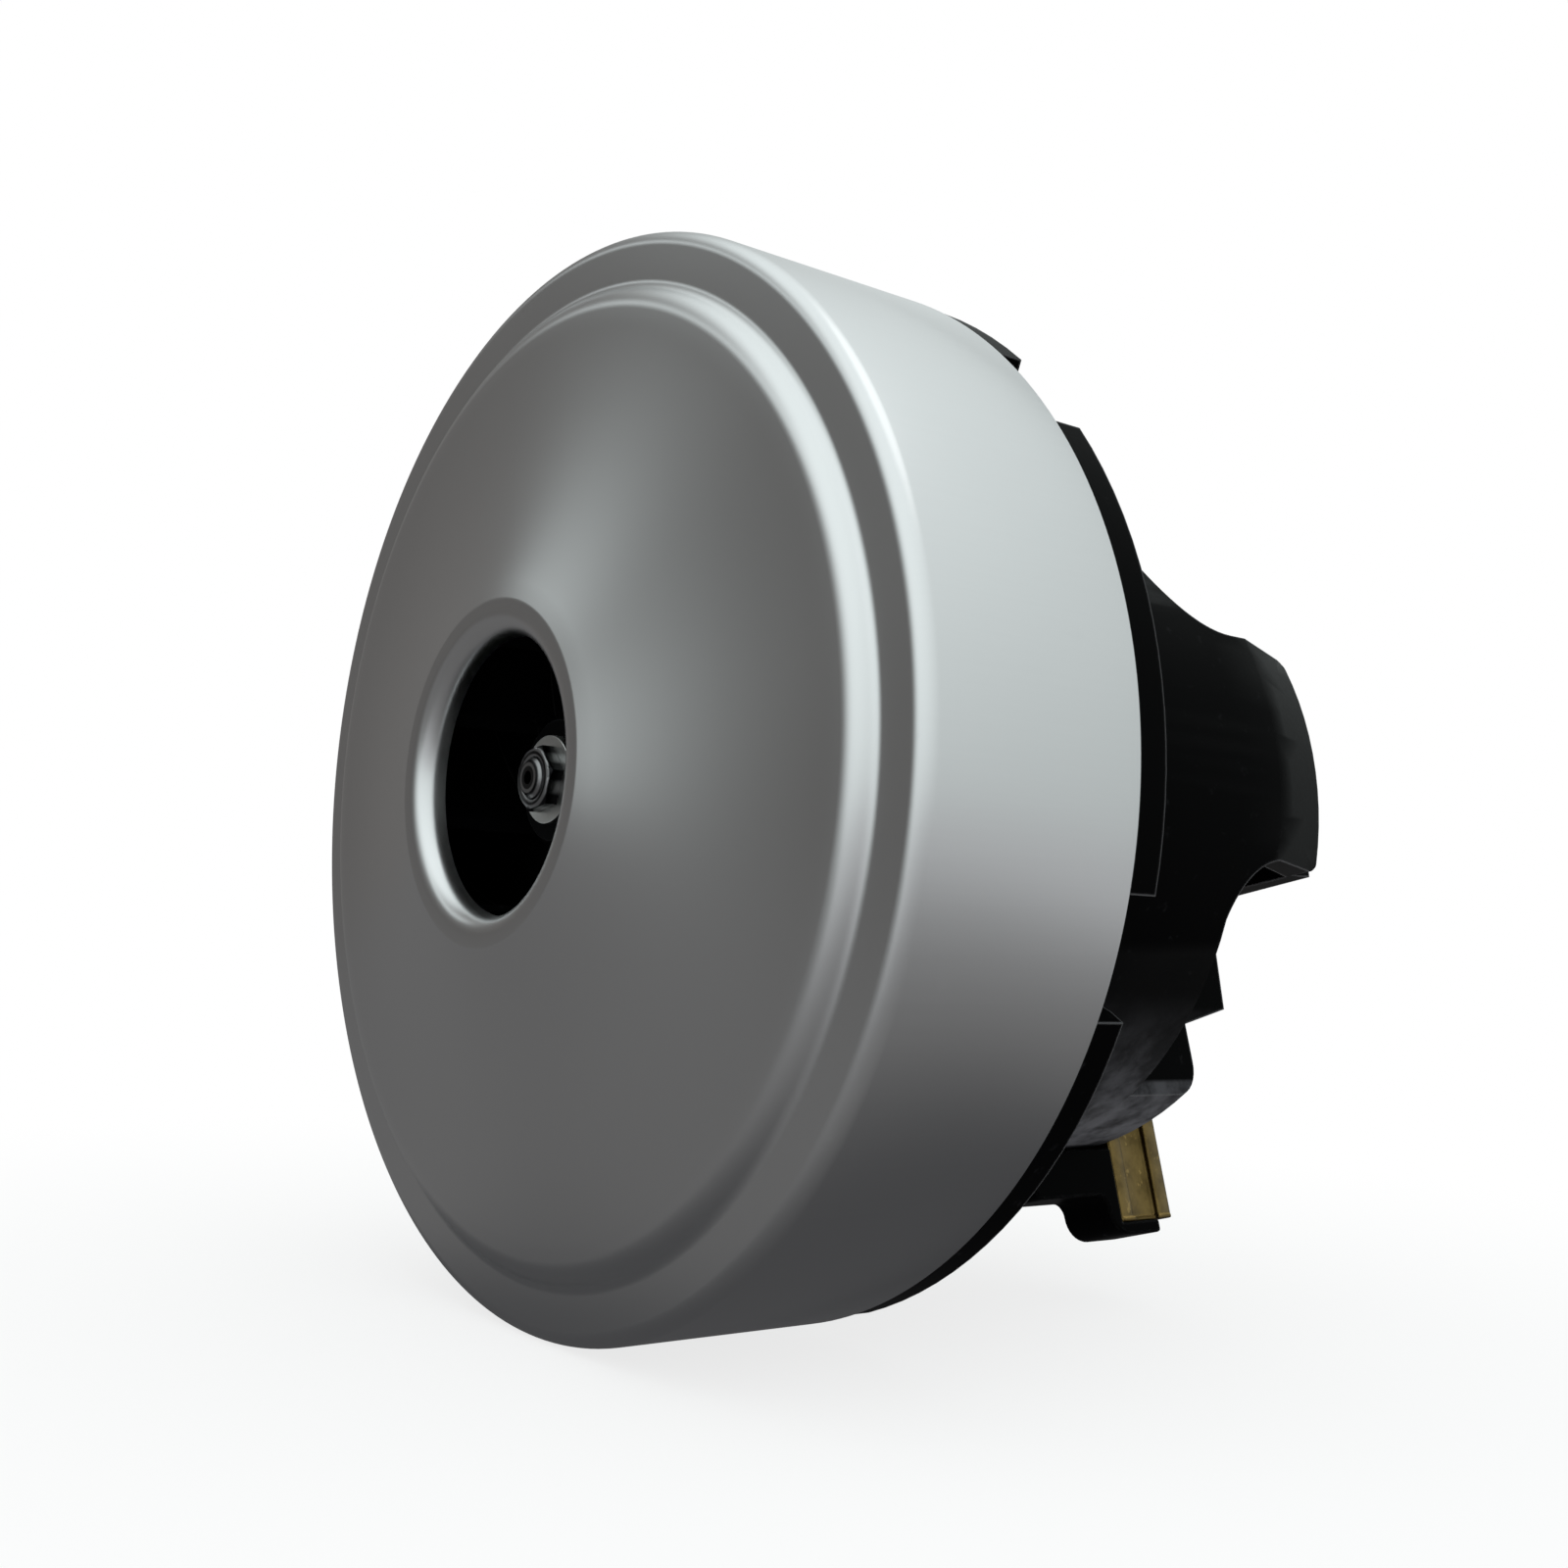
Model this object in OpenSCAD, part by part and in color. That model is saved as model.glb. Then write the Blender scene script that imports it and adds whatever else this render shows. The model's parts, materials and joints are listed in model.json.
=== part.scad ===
// Vacuum motor unit: a two-pole brush motor that drives a centrifugal fan under a drawn steel cover.
// The shaft lies along Y, the inlet faces -Y, and the origin is the middle of the inlet throat.
// Each sub-part is modelled about a shaft along local z, from the inlet to the brush end,
// with the bridge legs along local x and the brushes along local y. posed() turns it into place.

/* [Fan cover] */
// Outer diameter of the cover skirt
cover_d = 135; // [131:0.5:139]
// Thickness of the cover sheet
cover_t = 1; // [0.8:0.1:1.3]
// Length of the skirt, from the flat front ring to the rim
skirt_h = 30.5; // [28:0.5:34]
// Height of the inlet lip over the flat front ring
dome_h = 10; // [9:0.5:12]
// Diameter of the inlet throat
inlet_d = 34; // [30:0.5:37]
// Outer radius of the rolled inlet lip
lip_r = 2.7; // [2.2:0.1:3.2]
// Length of the straight throat wall
throat_len = 1; // [0.75:0.25:2.5]
// Radius of the hollow sweep of the dome, from the inlet lip to its rounded edge
dome_bend = 120; // [110:5:250]
// Radius of the corner between front ring and skirt
corner_r = 3; // [2:0.25:3.5]
// Width of the flat ring and its corner, from the skirt to the foot of the raised dome
face_ring = 6; // [5.5:0.25:7]
// Radius of the rounded edge of the raised dome
step_round = 3.5; // [2.5:0.25:4.5]
// Radius of the hollow at the foot of the raised dome
foot_round = 1.6; // [1:0.1:2]
// Slope of the wall between dome and front ring, in degrees
step_slope = 55; // [40:1:70]

/* [Impeller] */
// Outer diameter of the impeller
impeller_d = 108; // [104:0.5:110]
// Number of impeller blades
blade_count = 9; // [7:1:11]
// Thickness of a blade
blade_t = 1.2; // [0.8:0.1:1.6]
// Bend radius of a blade
blade_bend = 40; // [34:1:60]
// Angle that a blade sweeps from eye to rim, in degrees
blade_wrap = 58; // [45:1:65]
// Rest angle of the impeller, in degrees
fan_turn = 37; // [0:1:40]
// Thickness of the front shroud
shroud_t = 1.2; // [0.8:0.1:1.6]
// Thickness of the back plate
plate_t = 1.6; // [1.2:0.1:2.2]
// Length of the hub
hub_len = 11.7; // [9:0.1:12]
// Diameter of the hub at its nose
hub_d = 17; // [16:0.5:20]
// Thickness of the washer under the nut
washer_t = 1.2; // [0.8:0.1:1.4]
// Diameter of the washer under the nut
washer_d = 11; // [10:0.5:14]

/* [Diffuser] */
// Number of diffuser vanes
vane_count = 15; // [11:1:17]
// Thickness of a diffuser vane
vane_t = 1.3; // [1:0.1:1.8]
// Thickness of the diffuser disc
disc_t = 2.5; // [2:0.1:3]
// Inner radius of the return vanes
return_r = 30; // [26:0.5:34]

/* [Shaft and bearings] */
// Diameter of the shaft between the bearings
shaft_d = 10; // [9:0.25:11]
// Bore of the front bearing
front_bore = 8; // [7.5:0.25:8.5]
// Outer diameter of the front bearing
front_od = 22; // [21:0.5:24]
// Width of the front bearing
front_w = 7; // [6.5:0.25:7.5]
// Bore of the rear bearing
rear_bore = 7; // [6.5:0.25:7.5]
// Outer diameter of the rear bearing
rear_od = 19; // [18:0.5:20]
// Width of the rear bearing
rear_w = 6; // [5.5:0.25:7]
// Balls in each bearing
ball_count = 7; // [6:1:7]
// Diameter of the threaded shaft end
thread_d = 5; // [4.5:0.25:6]
// Length of the collar between impeller and front bearing
spacer_len = 8; // [7:0.25:9]
// Outer diameter of that collar
spacer_d = 12.5; // [11.5:0.25:13]

/* [Motor housing] */
// Outer diameter of the motor can
can_d = 97; // [94:0.5:99]
// Wall thickness of the can
can_t = 2.8; // [2.2:0.1:3.2]
// Length of the can behind the cover rim
can_len = 40.5; // [38:0.5:44]
// Thickness of the flange inside the cover
flange_t = 3.5; // [3:0.1:4.5]
// Height of the shoulder tabs behind the cover rim
tab_h = 4.2; // [3:0.1:5.5]
// Angle that a shoulder tab spans, in degrees
tab_span = 48; // [40:1:54]
// Number of shoulder tabs
tab_count = 6; // [4:1:6]
// Width of the bridge and its two legs
leg_w = 30; // [26:0.5:34]
// Length of the legs behind the can
leg_len = 24; // [22.5:0.5:27]
// Diameter across the rear ends of the legs
leg_end_d = 88; // [84:0.5:92]
// Radius of the hollow between can edge and leg
leg_fillet = 10; // [6:0.5:12]
// Radius of the rear corners of a leg
leg_corner = 4; // [2:0.5:6]
// Thickness of the bridge
bridge_t = 3.6; // [3:0.1:4.5]
// Outer diameter of the rear bearing boss
boss_d = 26.4; // [25:0.2:30]
// Width of the block under each brush
ear_w = 39.5; // [34:0.5:42]
// Angle of the bridge above the horizontal, in degrees
frame_turn = 12; // [0:0.5:30]
// Angle of the shoulder tabs past the bridge, in degrees
tab_lead = 2; // [0:0.5:6]
// Depth of the exhaust windows below the can edge
window_depth = 7; // [5:0.5:9]
// Radius of the hollow between an exhaust window and a leg
window_round = 12; // [8:0.5:13]

/* [Stator and rotor] */
// Length of the lamination stacks
stack_len = 28; // [25:0.5:30]
// Distance of the stacks behind the cover rim
stack_gap = 9.5; // [8:0.25:11]
// Diameter of the stator bore
bore_d = 43.2; // [41:0.2:45]
// Width across the flats of the stator
stator_flats = 82; // [80:0.5:85]
// Outer diameter of the winding slots in the stator
slot_d = 68; // [66:0.5:70]
// Air gap between rotor and stator
air_gap = 0.6; // [0.4:0.05:0.9]
// Number of rotor slots and commutator bars
bar_count = 22; // [18:2:24]
// How far the field coils stand out of the stack at each end
coil_overhang = 9; // [7:0.25:10]
// Diameter of the field wire, as drawn
wire_d = 0.7; // [0.6:0.05:0.75]
// Loops in the outer layer of a field coil
coil_loops = 6; // [4:1:7]

/* [Brush gear] */
// Diameter of the commutator
comm_d = 23; // [21:0.25:24]
// Length of the commutator bars
comm_len = 12.5; // [11.5:0.25:13.5]
// Distance of the brushes behind the can edge
brush_back = 16.75; // [15.5:0.25:17]
// Angle of the brushes past the square of the bridge, in degrees
brush_lead = 4.5; // [0:0.5:8]
// Width of a brush around the shaft
brush_w = 5.6; // [5:0.1:6.2]
// Width of a brush along the shaft
brush_h = 9; // [7.5:0.1:9.2]
// Length of a new brush
brush_len = 20; // [16:0.5:24]
// Sheet thickness of the brush sleeve
sleeve_t = 0.6; // [0.5:0.05:0.8]
// Radius of the outer end of the brush sleeve
sleeve_end = 59.1; // [57:0.1:62]
// Width of the brush carrier
carrier_w = 9.2; // [8.5:0.1:11]
// Wall thickness of the brush carrier
carrier_t = 1.8; // [1.4:0.1:2]
// Wire diameter of the brush spring
spring_wire = 0.6; // [0.5:0.05:0.7]
// Curls of the brush spring
spring_curls = 10; // [8:1:12]

/* [Fits] */
// Radial clearance of pieces that sit on or in each other
seat_gap = 0.02; // [0.01:0.01:0.05]
// Clearance of a ball in its races
race_gap = 0.04; // [0.03:0.01:0.06]
// Clearance of a brush in its sleeve, and of a sleeve in its post
slide_gap = 0.1; // [0.05:0.05:0.2]
// Clearance of the flange and vanes inside the cover
cover_gap = 0.15; // [0.1:0.05:0.3]
// Clearance of the stator inside the can
core_gap = 0.15; // [0.1:0.05:0.3]
// Gap between the inlet throat and the impeller eye
eye_gap = 0.9; // [0.6:0.1:1.3]
// Gap between the cover and the impeller shroud
shroud_gap = 1.6; // [1:0.1:2]
// Gap between the impeller and the diffuser
fan_gap = 1.6; // [1.2:0.1:2]
// Gap between brush and commutator
brush_gap = 0.25; // [0.2:0.05:0.4]

/* [Hidden] */

$fn = 72;
// Steps in each bend of the cover sheet
bend_steps = 8;
// Overlap of pieces that are moulded as one
weld = 0.5;
// How far a fillet's thin edge is sunk into the face that it runs out on
fillet_sink = 0.3;

// Places along the shaft, from the inlet to the brush end
z_lip = -throat_len / 2;
z_face = z_lip - lip_r + dome_h;
z_rim = z_face + skirt_h;
z_flange = z_rim - flange_t;
z_can = z_rim + can_len;
z_leg = z_can + leg_len;
bearing_set = 0.5;
z_front = z_flange - bearing_set - front_w;
z_hub = z_front - spacer_len;
z_plate = z_hub - plate_t;
z_nose = z_hub - hub_len;
z_nut = z_nose - washer_t;
nut_h = 2;
tip_len = 0.6;
z_tip = z_nut - nut_h - tip_len;
z_stack = z_rim + stack_gap;
z_stack_end = z_stack + stack_len;
z_brush = z_can + brush_back;
z_comm = z_brush - comm_len / 2;
z_comm_end = z_brush + comm_len / 2;
riser_len = 2.2;
bridge_clear = 0.8;
z_hollow = max(z_comm_end, z_leg - 1) + bridge_clear;
rear_set = 2.5;
z_rear = z_hollow + rear_set;
shim_t = 0.8;
boss_wall = 2.2;
z_boss = z_rear + rear_w + shim_t + boss_wall;

// Radii
cover_in = cover_d / 2 - cover_t;
eye_r = inlet_d / 2 + cover_t + eye_gap;
imp_r = impeller_d / 2;
can_r = can_d / 2;
can_in = can_r - can_t;
bolt_r = can_r + 1;
core_r = can_in - core_gap;
rotor_r = bore_d / 2 - air_gap;
comm_r = comm_d / 2;
stator_bolt_r = slot_d / 4 + core_r / 2 + 1.2;
stator_bolt_turn = 44;

// Brush gear
channel = 0.8;
fold_r = 0.3;
fold_steps = 4;
sleeve_flare = 0.3;
sleeve_w = brush_w + 2 * (slide_gap + sleeve_t + channel);
sleeve_h = brush_h + 2 * (slide_gap + sleeve_t);
sleeve_start = comm_r + 2.7;
brush_start = comm_r + brush_gap;
post_wall = 2.4;
post_w = sleeve_w + 2 * (slide_gap + post_wall);
post_set = 8;
post_end = can_r - post_set;

// Bends of the cover sheet, in radius and height
lip_c = [inlet_d / 2 + lip_r, z_lip];
foot_c = [cover_d / 2 - face_ring, z_face - foot_round];
step_facing = step_slope - 90;
crest_c = foot_c + polar(foot_round, step_facing + 180) - polar(step_round, step_facing);
dome_c = meeting(lip_c, dome_bend + lip_r, crest_c, dome_bend + step_round);
lip_facing = facing(lip_c, dome_c);
crest_facing = facing(crest_c, dome_c);
corner_c = [cover_d / 2 - corner_r, z_face + corner_r];

function polar(r, a) = [r * cos(a), r * sin(a)];
function arc(c, r, from, to, steps) = [for (i = [0:steps]) c + polar(r, from + (to - from) * i / steps)];
function facing(p, q) = atan2(q.y - p.y, q.x - p.x);
// The point at distance a from p and b from q, on the right of the way from p to q
function meeting(p, a, q, b) =
    let (way = q - p, d = norm(way), part = (a * a - b * b + d * d) / (2 * d))
    p + part * way / d + sqrt(a * a - part * part) * [way.y, -way.x] / d;
function backward(list) = [for (i = [len(list) - 1:-1:0]) list[i]];

// One face of the cover sheet, set in from the outside by a depth
function cover_face(depth) = concat(
    [[inlet_d / 2 + depth, throat_len / 2]],
    arc(lip_c, lip_r - depth, 180, 360 + lip_facing, bend_steps),
    arc(dome_c, dome_bend + depth, lip_facing + 180, crest_facing + 180, bend_steps),
    arc(crest_c, step_round - depth, crest_facing, step_facing, bend_steps),
    arc(foot_c, foot_round + depth, step_facing + 180, 90, bend_steps),
    arc(corner_c, corner_r - depth, -90, 0, bend_steps),
    [[cover_d / 2 - depth, z_rim]]);

// Line along the dome between two radii, set in from the outside by a depth
function dome_line(depth, from, to) = [for (i = [0:bend_steps])
    let (r = from + (to - from) * i / bend_steps)
    [r, dome_c.y + sqrt(pow(dome_bend + depth, 2) - pow(r - dome_c.x, 2))]];

module posed() {
    rotate([-90, 0, 0])
        rotate([0, 0, -frame_turn])
            children();
}

module brush_side(half) {
    rotate([0, 0, 180 * half - brush_lead])
        children();
}

module ring(r_in, r_out, from, to) {
    difference() {
        translate([0, 0, from])
            cylinder(r = r_out, h = to - from);
        translate([0, 0, from - 1])
            cylinder(r = r_in, h = to - from + 2);
    }
}

module revolve(points) {
    rotate_extrude()
        polygon(points);
}

// Flat strip of even thickness along an arc of radius r from p to q
module arc_strip(p, q, r, t) {
    d = q - p;
    c = (p + q) / 2 + sqrt(r * r - d * d / 4) * [-d.y, d.x] / norm(d);
    translate(c)
        intersection() {
            difference() {
                circle(r + t / 2);
                circle(r - t / 2);
            }
            polygon([[0, 0], 2.5 * (p - c), 2.5 * (q - c)]);
        }
}

// Wedge of a shell, centred on local x
module shell_wedge(r_in, r_out, span, from, to) {
    rotate([0, 0, -span / 2])
        rotate_extrude(angle = span)
            translate([r_in, from])
                square([r_out - r_in, to - from]);
}

// Filled corner that rounds an inner edge between two straight sides
module fillet_2d(r) {
    difference() {
        square(r);
        translate([r, r])
            circle(r);
    }
}

module fan_cover() {
    color("silver")
        posed()
            revolve(concat(cover_face(0), backward(cover_face(cover_t))));
}

// Space between the shroud and the back plate
module blade_space() {
    depth = cover_t + shroud_gap + shroud_t + seat_gap;
    r_in = eye_r + 0.5;
    revolve(concat(dome_line(depth, r_in, imp_r), [[imp_r, z_plate + weld], [r_in, z_plate + weld]]));
}

module impeller() {
    bore = front_bore / 2 + seat_gap;
    nose = hub_d / 2;
    flare = 4;
    color("dimgray")
        posed() {
            revolve(concat([[bore, z_hub], [bore, z_nose], [nose - 1, z_nose], [nose, z_nose + 1]],
                arc([nose + flare, z_plate - flare], flare, 180, 90, bend_steps),
                [[imp_r, z_plate], [imp_r, z_hub]]));
            intersection() {
                blade_space();
                translate([0, 0, -dome_h])
                    linear_extrude(z_hub + dome_h)
                        for (i = [0:blade_count - 1])
                            rotate(i * 360 / blade_count + frame_turn - fan_turn)
                                arc_strip([eye_r, 0], polar(imp_r + 1, blade_wrap), blade_bend, blade_t);
            }
        }
}

module impeller_shroud() {
    outer = cover_t + shroud_gap;
    inner = outer + shroud_t;
    color("dimgray")
        posed()
            revolve(concat(dome_line(outer, eye_r, imp_r), backward(dome_line(inner, eye_r, imp_r))));
}

module impeller_washer() {
    color("silver")
        posed()
            ring(thread_d / 2 + seat_gap, washer_d / 2, z_nut, z_nose);
}

module impeller_nut() {
    flats = 7.4;
    corner = flats / 2 / cos(30);
    hole = thread_d / 2 + seat_gap;
    color("silver")
        posed()
            intersection() {
                translate([0, 0, z_nut - nut_h - 1])
                    cylinder(r = corner, h = nut_h + 2, $fn = 6);
                revolve([[hole, z_nut], [hole, z_nut - nut_h + 0.25], [hole + 0.25, z_nut - nut_h],
                    [flats / 2 - 0.2, z_nut - nut_h], [corner + 0.2, z_nut - nut_h + 0.6],
                    [corner + 0.2, z_nut]]);
            }
}

module impeller_spacer() {
    color("gray")
        posed()
            ring(front_bore / 2 + seat_gap, spacer_d / 2, z_hub, z_front);
}

module diffuser() {
    r_in = max(imp_r + fan_gap, bracket_out + cover_gap);
    r_rim = r_in + 1.2;
    r_out = cover_in - cover_gap;
    disc_z = z_hub + fan_gap;
    vane_top = z_face + corner_r + 0.5;
    return_end = z_flange - spoke_t - 0.3;
    color("dimgray")
        posed() {
            ring(spacer_d / 2 + 2.5, r_rim, disc_z, disc_z + disc_t);
            intersection() {
                ring(r_in, r_out, vane_top, z_flange);
                translate([0, 0, vane_top])
                    linear_extrude(z_flange - vane_top)
                        for (i = [0:vane_count - 1])
                            rotate(i * 360 / vane_count)
                                arc_strip([r_in - 1, 0], polar(r_out + 1, 16), 30, vane_t);
            }
            intersection() {
                ring(return_r, r_rim, disc_z + disc_t - weld, return_end);
                translate([0, 0, disc_z + disc_t - weld])
                    linear_extrude(return_end - disc_z - disc_t + weld)
                        for (i = [0:vane_count - 1])
                            rotate(i * 360 / vane_count)
                                arc_strip(polar(return_r - 1, -22), [r_rim + 1, 0], 45, vane_t);
            }
        }
}

// Front bracket: a cup for the front bearing on four spokes
bracket_t = 2.5;
cup_t = 2.8;
cup_lip = 1.2;
spoke_w = 9;
spoke_t = 4;
screw_r = 1.9;
head_r = 3.6;
head_t = 1.7;
bracket_out = bolt_r + head_r + 1.4;

module each_bracket_screw() {
    for (i = [0:3])
        rotate(45 + 90 * i)
            translate([bolt_r, 0, 0])
                children();
}

module screw_body(gap, length) {
    translate([0, 0, z_flange - bracket_t])
        cylinder(r1 = head_r + gap, r2 = screw_r + gap, h = head_t);
    translate([0, 0, z_flange - bracket_t])
        cylinder(r = screw_r + gap, h = length);
}

module front_bracket() {
    cup_r = front_od / 2 + cup_t;
    color("gainsboro")
        posed()
            difference() {
                union() {
                    ring(can_in - 3, bracket_out, z_flange - bracket_t, z_flange);
                    translate([0, 0, z_front - cup_lip])
                        cylinder(r = cup_r, h = z_flange - z_front + cup_lip);
                    intersection() {
                        translate([0, 0, z_flange - spoke_t])
                            cylinder(r = can_in - 1, h = spoke_t);
                        for (i = [0:1])
                            rotate(45 + 90 * i)
                                translate([-can_r, -spoke_w / 2, z_flange - spoke_t])
                                    cube([can_d, spoke_w, spoke_t]);
                    }
                }
                translate([0, 0, z_front])
                    cylinder(r = front_od / 2 + seat_gap, h = front_w + 1);
                translate([0, 0, z_front - cup_lip - 1])
                    cylinder(r = front_od / 2 - 2, h = cup_lip + 2);
                each_bracket_screw()
                    screw_body(seat_gap, bracket_t + 1);
            }
}

module bracket_screws() {
    color("silver")
        posed()
            each_bracket_screw()
                screw_body(0, bracket_t + flange_t - 0.6);
}

// Outline of the housing's legs and bridge, turned about the shaft
module bridge_cap() {
    end_r = leg_end_d / 2;
    round_r = 2.5;
    straight = leg_len / 3;
    hollow_r = comm_r + 5.5;
    hub_r = boss_d / 2;
    revolve(concat(
        [[can_r, z_can - weld], [can_r, z_can + straight]],
        arc([end_r - round_r, z_leg - round_r], round_r, 10, 90, bend_steps),
        [[hub_r, z_rear], [rear_od / 2 + 1, z_rear], [rear_od / 2 + 1, z_hollow], [hollow_r, z_hollow],
            [hollow_r + 1, z_leg - bridge_t]],
        arc([end_r - can_t - 1, z_leg - bridge_t - 1], 1, 90, 10, bend_steps),
        [[can_in, z_can + straight], [can_in, z_can - weld]]));
}

// Space that holds the legs and the bridge between them. Each leg has a hollow where it leaves the can
// on one side, and on the other side spare width that the exhaust window trims to shape.
module leg_slab() {
    spare = 1.5;
    window_top = window_round - window_depth + spare;
    for (end = [0, 1])
        rotate([0, 0, 180 * end])
            rotate([90, 0, 90])
                translate([0, 0, -1])
                    linear_extrude(can_r + 2) {
                        translate([-leg_w / 2 - spare, z_can - weld])
                            square([leg_w + spare, z_boss - z_can]);
                        translate([-leg_w / 2 - window_round - spare, z_can - weld])
                            square([window_round + 2 * spare, window_top + weld]);
                        translate([leg_w / 2, z_can - fillet_sink]) {
                            fillet_2d(leg_fillet);
                            translate([-weld, -weld])
                                square([leg_fillet + weld, weld]);
                        }
                    }
}

// Exhaust windows: the can edge is lower beside each leg, up to the block under the brush
module exhaust_windows() {
    for (end = [0, 1])
        rotate([0, 0, 180 * end])
            translate([ear_w / 2, 0, z_can - window_depth])
                rotate([90, 0, 90])
                    linear_extrude(can_r)
                        difference() {
                            translate([-can_r - 1, 0])
                                square([can_r + 1 - leg_w / 2, window_depth + leg_len + 2]);
                            translate([-leg_w / 2, 0])
                                mirror([1, 0])
                                    translate([-1, -1])
                                        difference() {
                                            square(window_round + 1);
                                            translate([window_round + 1, window_round + 1])
                                                circle(window_round);
                                        }
                        }
}

// Rounds the two rear corners of each leg
module leg_corners() {
    for (end = [0, 1], side = [0, 1])
        mirror([end, 0, 0])
            mirror([0, side, 0])
                translate([leg_end_d / 2 - can_t - 2, leg_w / 2, z_leg])
                    rotate([90, 0, 90])
                        linear_extrude(can_d)
                            rotate(180)
                                translate([-weld, -weld])
                                    difference() {
                                        square(leg_corner + weld);
                                        translate([leg_corner + weld, leg_corner + weld])
                                            circle(leg_corner);
                                    }
}

// Block under each brush: a thick stretch of the can wall that rises behind the can edge
module brush_block() {
    corner = 4;
    top = z_brush - 2.5;
    block_in = slot_d / 2 + 0.6;
    block_out = can_r - 0.1;
    intersection() {
        revolve(concat([[block_in, z_can - weld], [block_out, z_can - weld]],
            arc([block_out - corner, top - corner], corner, 0, 90, bend_steps), [[block_in, top]]));
        translate([-ear_w / 2, 0, z_can - 1])
            cube([ear_w, can_d, leg_len]);
    }
}

// Post that holds a brush sleeve, moulded onto the bridge
module brush_post() {
    front = z_brush - sleeve_h / 2 - slide_gap - post_wall;
    translate([-post_w / 2, boss_d / 2 - 1, front])
        cube([post_w, post_end - boss_d / 2 + 1, z_hollow + 1.5 - front]);
}

module sleeve_hole() {
    translate([-sleeve_w / 2 - slide_gap, 0, z_brush - sleeve_h / 2 - slide_gap])
        cube([sleeve_w + 2 * slide_gap, can_d, sleeve_h + 2 * slide_gap]);
}

module each_stator_screw() {
    for (i = [0, 1])
        rotate(stator_bolt_turn + 180 * i)
            translate([stator_bolt_r, 0, 0])
                children();
}

stator_screw_r = 1.9;
stator_boss_r = 4;
stator_boss_len = 12;

// Square boss for a stator screw, which leans out to the can wall
module stator_boss() {
    at = polar(stator_bolt_r, stator_bolt_turn);
    foot = sqrt(pow(can_r - 0.4, 2) - pow(at.x + stator_boss_r, 2));
    translate([at.x - stator_boss_r, 0, z_stack_end])
        rotate([90, 0, 90])
            linear_extrude(2 * stator_boss_r)
                polygon([[at.y - stator_boss_r, 0], [foot, 0], [foot, z_can - z_stack_end + 0.3],
                    [at.y + stator_boss_r, stator_boss_len], [at.y - stator_boss_r, stator_boss_len]]);
}

module motor_housing() {
    tab_out = cover_d / 2 - 1.3;
    tab_in = cover_d / 2 - 6;
    tab_root = cover_in - 1.5;
    bevel = 1.6;
    color("#202226")
        posed()
            difference() {
                union() {
                    ring(can_in, cover_in - cover_gap, z_flange, z_rim);
                    ring(can_in, can_r, z_flange, z_can);
                    for (i = [0:tab_count - 1])
                        rotate(i * 360 / tab_count - tab_span / 2 - tab_lead)
                            rotate_extrude(angle = tab_span)
                                polygon([[tab_in, z_rim - weld], [tab_root, z_rim - weld],
                                    [tab_root, z_rim + seat_gap], [tab_out, z_rim + seat_gap],
                                    [tab_out, z_rim + tab_h],
                                    [tab_out - bevel, z_rim + tab_h + bevel / 2],
                                    [tab_in, z_rim + tab_h + bevel / 2]]);
                    difference() {
                        intersection() {
                            bridge_cap();
                            leg_slab();
                        }
                        leg_corners();
                    }
                    translate([0, 0, z_hollow])
                        cylinder(d = boss_d, h = z_boss - z_hollow);
                    for (half = [0, 1])
                        brush_side(half) {
                            brush_post();
                            brush_block();
                        }
                    for (half = [0, 1])
                        rotate([0, 0, 180 * half])
                            stator_boss();
                }
                exhaust_windows();
                translate([0, 0, z_rear])
                    cylinder(r = rear_od / 2 + seat_gap, h = rear_w + shim_t);
                translate([0, 0, z_hollow - 1])
                    cylinder(r = rear_od / 2 + seat_gap, h = rear_set + 2);
                translate([0, 0, z_comm - riser_len - 1])
                    cylinder(r = comm_r + 3, h = z_hollow - z_comm + riser_len + 1);
                for (half = [0, 1])
                    brush_side(half)
                        sleeve_hole();
                each_stator_screw()
                    translate([0, 0, z_stack_end - 1])
                        cylinder(r = stator_screw_r + seat_gap, h = stator_boss_len - 1);
                each_bracket_screw()
                    translate([0, 0, z_flange - 1])
                        cylinder(r = screw_r + seat_gap, h = flange_t + 0.5);
                each_terminal()
                    translate([-blade_w / 2 - seat_gap, -blade_h / 2 - seat_gap, z_leg - bridge_t - 1])
                        cube([blade_w + 2 * seat_gap, blade_h + 2 * seat_gap, bridge_t + 6]);
                carrier_screw_places()
                    cylinder(r = carrier_screw_r + seat_gap, h = 2 * carrier_screw_len, center = true);
            }
}

// Stator: two poles along local x, with the coil slots along local y
slot_half = 43;
mouth_half = 26;
shoe_t = 2.7;

module slot_2d(r_in, r_out, half) {
    intersection() {
        difference() {
            circle(r_out);
            circle(r_in);
        }
        polygon([[0, 0], 2 * polar(r_out, 90 - half), [0, 3 * r_out], 2 * polar(r_out, 90 + half)]);
    }
}

module stator_core() {
    color("slategray")
        posed()
            translate([0, 0, z_stack])
                difference() {
                    linear_extrude(stack_len)
                        difference() {
                            intersection() {
                                circle(core_r);
                                square([2 * can_d, stator_flats], center = true);
                            }
                            circle(d = bore_d);
                            for (half = [0, 1])
                                rotate(180 * half) {
                                    slot_2d(bore_d / 2 + shoe_t, slot_d / 2, slot_half);
                                    slot_2d(bore_d / 2 - 1, bore_d / 2 + shoe_t + 1, mouth_half);
                                }
                        }
                    each_stator_screw()
                        translate([0, 0, -1])
                            cylinder(r = stator_screw_r + 0.2, h = stack_len + 2);
                }
}

module stator_screws() {
    head_h = 2.4;
    color("silver")
        posed()
            each_stator_screw() {
                translate([0, 0, z_stack - head_h])
                    cylinder(r = stator_screw_r + 1.6, h = head_h);
                translate([0, 0, z_stack - weld])
                    cylinder(r = stator_screw_r, h = stack_len + stator_boss_len - 3);
            }
}

liner_t = 0.4;

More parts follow.
